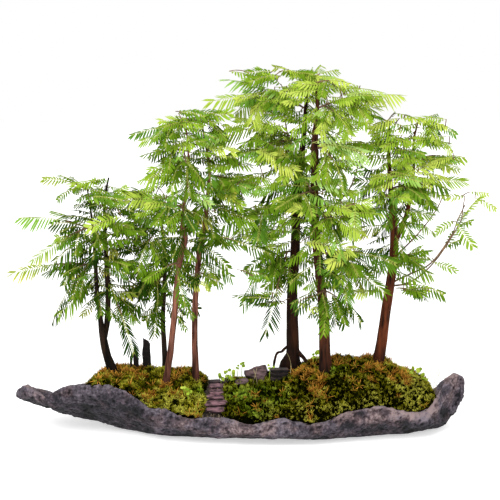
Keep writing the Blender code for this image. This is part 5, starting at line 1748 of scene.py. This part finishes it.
# Bare reddish branches, as (across, down, y, radius) along them
BARE_BRANCHES = {
    "g": [[(388, 290, 20, 2.0), (394, 282, 18, 1.6), (410, 274, 12, 1.4), (431, 263, 10, 1.2),
           (451, 236, 8, 1.0), (458, 219, 8, 0.9), (465, 205, 10, 0.8)],
          [(394, 258, 20, 1.8), (403, 249, 16, 1.4), (416, 236, 12, 1.2), (430, 219, 12, 1.0),
           (439, 205, 14, 0.9), (444, 192, 14, 0.8)],
          [(389, 222, 20, 1.6), (384, 200, 22, 1.2), (386, 187, 22, 1.0), (389, 176, 20, 0.8)]],
    "f": [[(322, 226, -5, 1.8), (334, 207, -2, 1.3), (351, 186, 0, 1.1), (363, 149, -4, 0.8)],
          [(322, 170, -5, 1.6), (332, 148, -8, 1.2), (341, 128, -10, 0.9)]],
    "e": [[(292, 150, 40, 1.8), (287, 132, 38, 1.3), (284, 108, 36, 1.0), (283, 90, 36, 0.8)]],
}
# Tiers of small fronds as (across, down, half across, half down, y, fronds, tint in hundredths)
TIERS = {
    "a": [(100, 196, 16, 6, 2, 6, 75), (118, 208, 14, 6, -4, 7, 70), (122, 232, 14, 12, 4, 11, 50),
        (118, 262, 12, 12, 2, 8, 40), (88, 186, 10, 5, 0, 3, 75), (84, 236, 14, 8, 0, 4, 60)],
    "b": [(142, 200, 16, 8, 30, 6, 70), (140, 222, 18, 10, 34, 7, 55), (140, 248, 16, 12, 34, 7, 45),
        (152, 275, 12, 14, 40, 5, 35), (136, 285, 10, 10, 42, 3, 30)],
    "c": [(176, 124, 12, 4, -20, 4, 70), (188, 130, 16, 8, -22, 5, 65), (176, 150, 16, 10, -25, 6, 65),
        (170, 176, 18, 10, -30, 6, 55), (160, 200, 18, 8, -30, 6, 65), (170, 222, 14, 8, -28, 4, 40),
        (186, 114, 8, 3, -12, 2, 65)],
    "d": [(206, 118, 12, 4, -2, 4, 65), (214, 136, 14, 8, -8, 5, 65), (220, 160, 16, 8, -6, 5, 60),
        (222, 186, 18, 8, -4, 5, 55), (226, 210, 16, 8, -4, 4, 50), (214, 240, 10, 8, -4, 2, 45),
        (200, 112, 8, 3, -4, 2, 65)],
    "e": [(256, 76, 20, 5, 24, 9, 62), (300, 73, 20, 3, 36, 10, 68), (262, 98, 26, 5, 18, 11, 72),
        (300, 92, 20, 5, 26, 9, 80), (262, 126, 24, 6, 12, 10, 75), (262, 150, 20, 10, 12, 9, 70),
        (256, 182, 24, 8, 12, 10, 65), (262, 212, 20, 7, 10, 8, 60), (258, 236, 20, 8, 10, 8, 65),
        (264, 272, 16, 6, 16, 6, 50), (268, 300, 12, 8, 16, 5, 40)],
    "f": [(330, 88, 22, 4, -8, 10, 76), (354, 99, 24, 5, -12, 11, 76), (340, 122, 16, 6, -16, 8, 75),
        (350, 145, 18, 7, -22, 7, 80), (344, 170, 12, 6, -22, 4, 60), (352, 205, 20, 7, -34, 8, 55),
        (358, 218, 20, 8, -36, 6, 50), (338, 195, 12, 6, -26, 3, 55), (345, 262, 18, 8, -34, 5, 65),
        (364, 292, 8, 4, -30, 4, 90), (300, 215, 12, 6, -34, 4, 80)],
    "g": [(384, 120, 10, 5, 14, 6, 70), (398, 134, 12, 9, 8, 7, 65), (424, 122, 14, 5, 14, 7, 70),
        (428, 142, 12, 7, 10, 7, 65), (434, 160, 14, 5, 6, 6, 65), (400, 156, 14, 7, 4, 7, 60),
        (378, 146, 8, 7, 4, 4, 60), (398, 176, 16, 5, -4, 7, 75), (430, 178, 14, 4, -10, 6, 85),
        (374, 186, 10, 5, -6, 4, 80), (408, 200, 14, 7, -6, 6, 55), (410, 262, 10, 4, 4, 4, 55),
        (414, 292, 12, 3, 2, 4, 50)],
}
TIER_LENGTH = (17, 29)  # how long a tier's fronds look, in pixels
TIER_DEPTH = 8  # their feet lie so far in front of its y or behind it, mm
OLD_TINT = 0.92  # the palest fronds are yellowing, and no tier has such
STEMS_OF = {"a": ["a_left", "a_right"], "g": ["g", "g_right"]}
PICKED_LENGTH = (24.0, 72.0)
TWINS_APART = 15.0  # a tier's frond is left out where a frond of the solids ends as near as this
CARRIER_RADIUS = (0.9, 0.6)
CARRIER_STEP = 4.0  # a stem can carry fronds at points so far apart
BELOW_SPRIGS = 60  # and from so far below its sprigs
MIDDLE_HEIGHT = 300  # a tree's middle, from which its tiers fan out, is its stem at this height
TWIG_STEP = 4.0  # one ring of points for so much bare branch


def stems_of(tree):
    return STEMS_OF.get(tree, [tree])


def seen_at(across, down, y):
    """The place at a depth that the camera sees at a point of the picture."""
    eye = (AIM + VIEW_DISTANCE * TO_CAMERA) / MM
    scale = SENSOR / LENS / PICTURE
    right, up = (across - PICTURE / 2) * scale, (PICTURE / 2 - down) * scale
    ray = Vector((right, math.cos(VIEW_RISE) + up * math.sin(VIEW_RISE),
                  up * math.cos(VIEW_RISE) - math.sin(VIEW_RISE)))
    return eye + ray * ((y - eye.y) / ray.y)


def seen_across(place):
    """How far across the picture the camera sees a place."""
    left, right = seen_at(0, 250, place.y).x, seen_at(PICTURE, 250, place.y).x
    return PICTURE * (place.x - left) / (right - left)


def carriers(tree):
    """Points along a tree's stems and twigs, any of which can carry a frond."""
    found = []
    for stem in stems_of(tree):
        low = SPRIG_SPANS[stem][0] - BELOW_SPRIGS
        found += [stem_at(stem, z)[0] for z in np.arange(low, STEMS[stem][-1][2], CARRIER_STEP)]
    for name, (stem, _, _) in LIMBS.items():
        if stem in stems_of(tree):
            for start, tip, share, _ in plan_twigs(name):
                found += [limb_path(start, tip, share * step / 20)[0] for step in range(21)]
    return found


def picked_frond(row):
    """Axes and length of a picked frond, and its tint."""
    across, down, tip_across, tip_down, y, tip_y, turn, tint = row
    foot, tip = seen_at(across, down, y), seen_at(tip_across, tip_down, tip_y)
    length = min(PICKED_LENGTH[1], max(PICKED_LENGTH[0], (tip - foot).length))
    heading = (tip + UP * DROOP * length - foot).normalized()
    face = UP * (1.0 - turn) + Vector((0, -1, 0.25)) * turn
    side = face.cross(heading).normalized()
    return (foot, heading, side, heading.cross(side)), length, tint


def tier_rows(tree, draw):
    """Small fronds that fan out of their tree in flat tiers, told as the picked ones are."""
    rows = []
    middle = seen_across(stem_at(stems_of(tree)[0], MIDDLE_HEIGHT)[0])
    for across, down, half_across, half_down, y, count, tint in TIERS[tree]:
        for _ in range(count):
            turn, out = draw.uniform(0, 2 * math.pi), math.sqrt(draw.random())
            place = across + half_across * out * math.cos(turn)
            low = down + half_down * out * math.sin(turn)
            hand = math.copysign(1, place - middle) * (1 if draw.random() < 0.8 else -1)
            half = hand * draw.uniform(*TIER_LENGTH) / 2
            rows.append((place - half, low - 2, place + half, low + draw.uniform(-1, 7),
                         y + draw.uniform(-TIER_DEPTH, TIER_DEPTH), y + draw.uniform(-26, 2),
                         draw.uniform(0.25, 0.85), min(OLD_TINT, tint / 100 + draw.uniform(-0.2, 0.2))))
    return rows


def twin_hangs(axes, length, tree):
    """Whether a frond of the solids already ends where another one would."""
    tip = axes[0] + axes[1] * length
    for name, fronds in settled.items():
        if LIMBS[name][0] in stems_of(tree):
            for other, other_length in fronds:
                apart = other[0] + other[1] * other_length - tip
                if math.hypot(apart.x, apart.z) < TWINS_APART and other[1].dot(axes[1]) > 0.8:
                    return True
    return False


def carrier_route(carrier, foot):
    """A thin twig that arches from what carries it to a frond's foot."""
    reach = (foot - carrier).length
    crown = carrier.lerp(foot, 0.5) + UP * ARCH * reach
    route = []
    for step in range(7):
        share = step / 6
        radius = CARRIER_RADIUS[0] + (CARRIER_RADIUS[1] - CARRIER_RADIUS[0]) * share
        route.append((*arch(carrier, crown, foot, share), radius))
    return route


def dress_picked(tree, seed):
    draw = random.Random(seed)
    heap, held_by = Heap(), carriers(tree)
    routes = [smooth_route([(*seen_at(*place), radius) for *place, radius in branch], TWIG_STEP)
              for branch in BARE_BRANCHES.get(tree, [])]
    rows = [(*places, turn / 100, tint / 100) for *places, turn, tint in PICKED[tree]]
    tiers = tier_rows(tree, draw)
    for row in rows + tiers:
        axes, length, tint = picked_frond(row)
        if row in tiers and (twin_hangs(axes, length, tree) or not clear_of_stems(axes, length)):
            continue
        carrier = min(held_by, key=lambda point: (point - axes[0]).length)
        if (carrier - axes[0]).length > 1.0:
            routes.append(carrier_route(carrier, axes[0]))
        hang = draw.uniform(*HANG) * (1.0 - row[6])
        yellow = draw.uniform(0.3, 0.8) if tint > OLD_TINT else 0.0
        lay_frond(heap, axes, length, tint, yellow, draw, hang)
        held_by += [frond_point(axes, length, length * step / 6, 0.0) for step in range(1, 7)]
    heap.add(*read_mesh(tubes("carriers", routes, 1)), TWIG_MARKS, slot=1)
    dress("branchlets_" + tree, heap, [LEAF, TWIG], "frond")


for seed, tree in enumerate(PICKED, 700):
    dress_picked(tree, seed)

# %% [markdown]
# A few weeds have seeded themselves: round lime leaves on hair-thin stalks, dry straws and one bent
# blade of grass. A leaf is a very flat cone of seven sides. They are placed one by one as the camera
# sees them, and each stalk goes down into the moss or the soil under its leaf.

# %% Weeds and straws
# Leaves as (across, down, y, radius in mm)
WEED_LEAVES = [
    (221.5, 375.8, 26, 3.6), (231, 371.5, 34, 3.8), (224, 379, 24, 3.2), (228.5, 376.5, 28, 3.4),
    (232.5, 377.5, 28, 2.8), (226, 372.5, 32, 2.6), (242, 364.5, 48, 3.2), (238.4, 367, 44, 2.6),
    (317, 353, 22, 3.6), (314, 356, 20, 2.8), (319.5, 357, 20, 2.6), (418, 371, 16, 4.0),
    (414, 369, 20, 3.0), (422, 374.5, 12, 3.2), (411, 373, 10, 2.8), (425, 379, 6, 3.0),
    (270, 367, 20, 2.8), (273, 368, 18, 2.2), (188, 392, -58, 3.6), (184, 388, -50, 3.0),
]
# Straws and blades as (across, down, y) from foot to tip
STRAWS = [[(392, 356, 18), (394, 348, 18), (398.5, 341.5, 17)],
          [(396, 357, 14), (396.5, 350, 14), (399, 345, 13)],
          [(434, 384, 4), (438, 376, 4), (442.5, 368, 3)], [(436, 386, 0), (438, 380, 0), (439.5, 372, 0)],
          [(290.5, 372, 12), (291, 365, 12), (289, 357, 12), (284.5, 349.5, 12)],
          [(253, 383, 10), (255, 376, 8), (257, 368, 12)],
          [(257, 382, 6), (255.5, 376, 5), (253.5, 369, 10)],
          [(96, 377, -8), (94, 372, -10), (91, 369.5, -12)]]
STRAW_RADIUS = (0.45, 0.2)
LEAF_SIDES = 7
WEED_LEAFLETS = 4  # leaves in one clump
WEED_SIZE = 0.8  # a leaf's size for the radius given
STALK_RADIUS = 0.6
STRAW_STEP = 2.5


def weed_leaf():
    bm = bmesh.new()
    bmesh.ops.create_cone(bm, cap_ends=True, segments=LEAF_SIDES, radius1=1, radius2=0, depth=0.22)
    return read_bmesh(bm)


def dress_weeds():
    draw = random.Random(31)
    heap = Heap()
    points, triangles = weed_leaf()
    for across, down, y, radius in WEED_LEAVES:
        place = seen_at(across, down, y)
        turned = Vector((draw.uniform(-0.5, 0.5), -0.9, 0.8)).normalized().to_track_quat("Z", "Y")
        laid = points * radius * WEED_SIZE @ np.array(turned.to_matrix()).T + place
        for _ in range(WEED_LEAFLETS):
            apart = [draw.uniform(-1.1, 1.1) * radius for _ in range(3)]
            tint, yellow = draw.uniform(0.55, 0.9), draw.uniform(0.0, 0.2)
            heap.add(laid + apart, triangles, (tint, 1.0, 0.3, yellow))
        foot = Vector((place.x + draw.uniform(-3, 3), place.y + 2, 0))
        foot.z = min(ground(foot.x, foot.y) + 1, place.z - 2)
        route = [(*foot.lerp(place, share), STALK_RADIUS) for share in (0.0, 0.5, 1.0)]
        heap.add(*read_mesh(tubes("stalk", [route], 0)), (0.8, 1.0, 0.3, 0.0))
    dress("weeds", heap, [LEAF], "moss")


def straw_finish():
    made, tree, skin = new_material("dry_straw", 0.7)
    dry = ramp(tree, grain(tree, 6, 3), [(0.4, (0.30, 0.24, 0.10)), (0.7, (0.62, 0.55, 0.28))])
    tree.links.new(dry, skin.inputs["Base Color"])
    return made


def dress_straws():
    routes = []
    for row in STRAWS:
        places = [seen_at(*place) for place in row]
        places.insert(0, places[0] - UP * 8)
        thins = np.linspace(*STRAW_RADIUS, len(places))
        route = [(*place, radius) for place, radius in zip(places, thins)]
        routes.append(smooth_route(route, STRAW_STEP))
    heap = Heap()
    heap.add(*read_mesh(tubes("straws", routes, 1)), TWIG_MARKS)
    dress("straws", heap, [straw_finish()], "moss")


dress_weeds()
dress_straws()
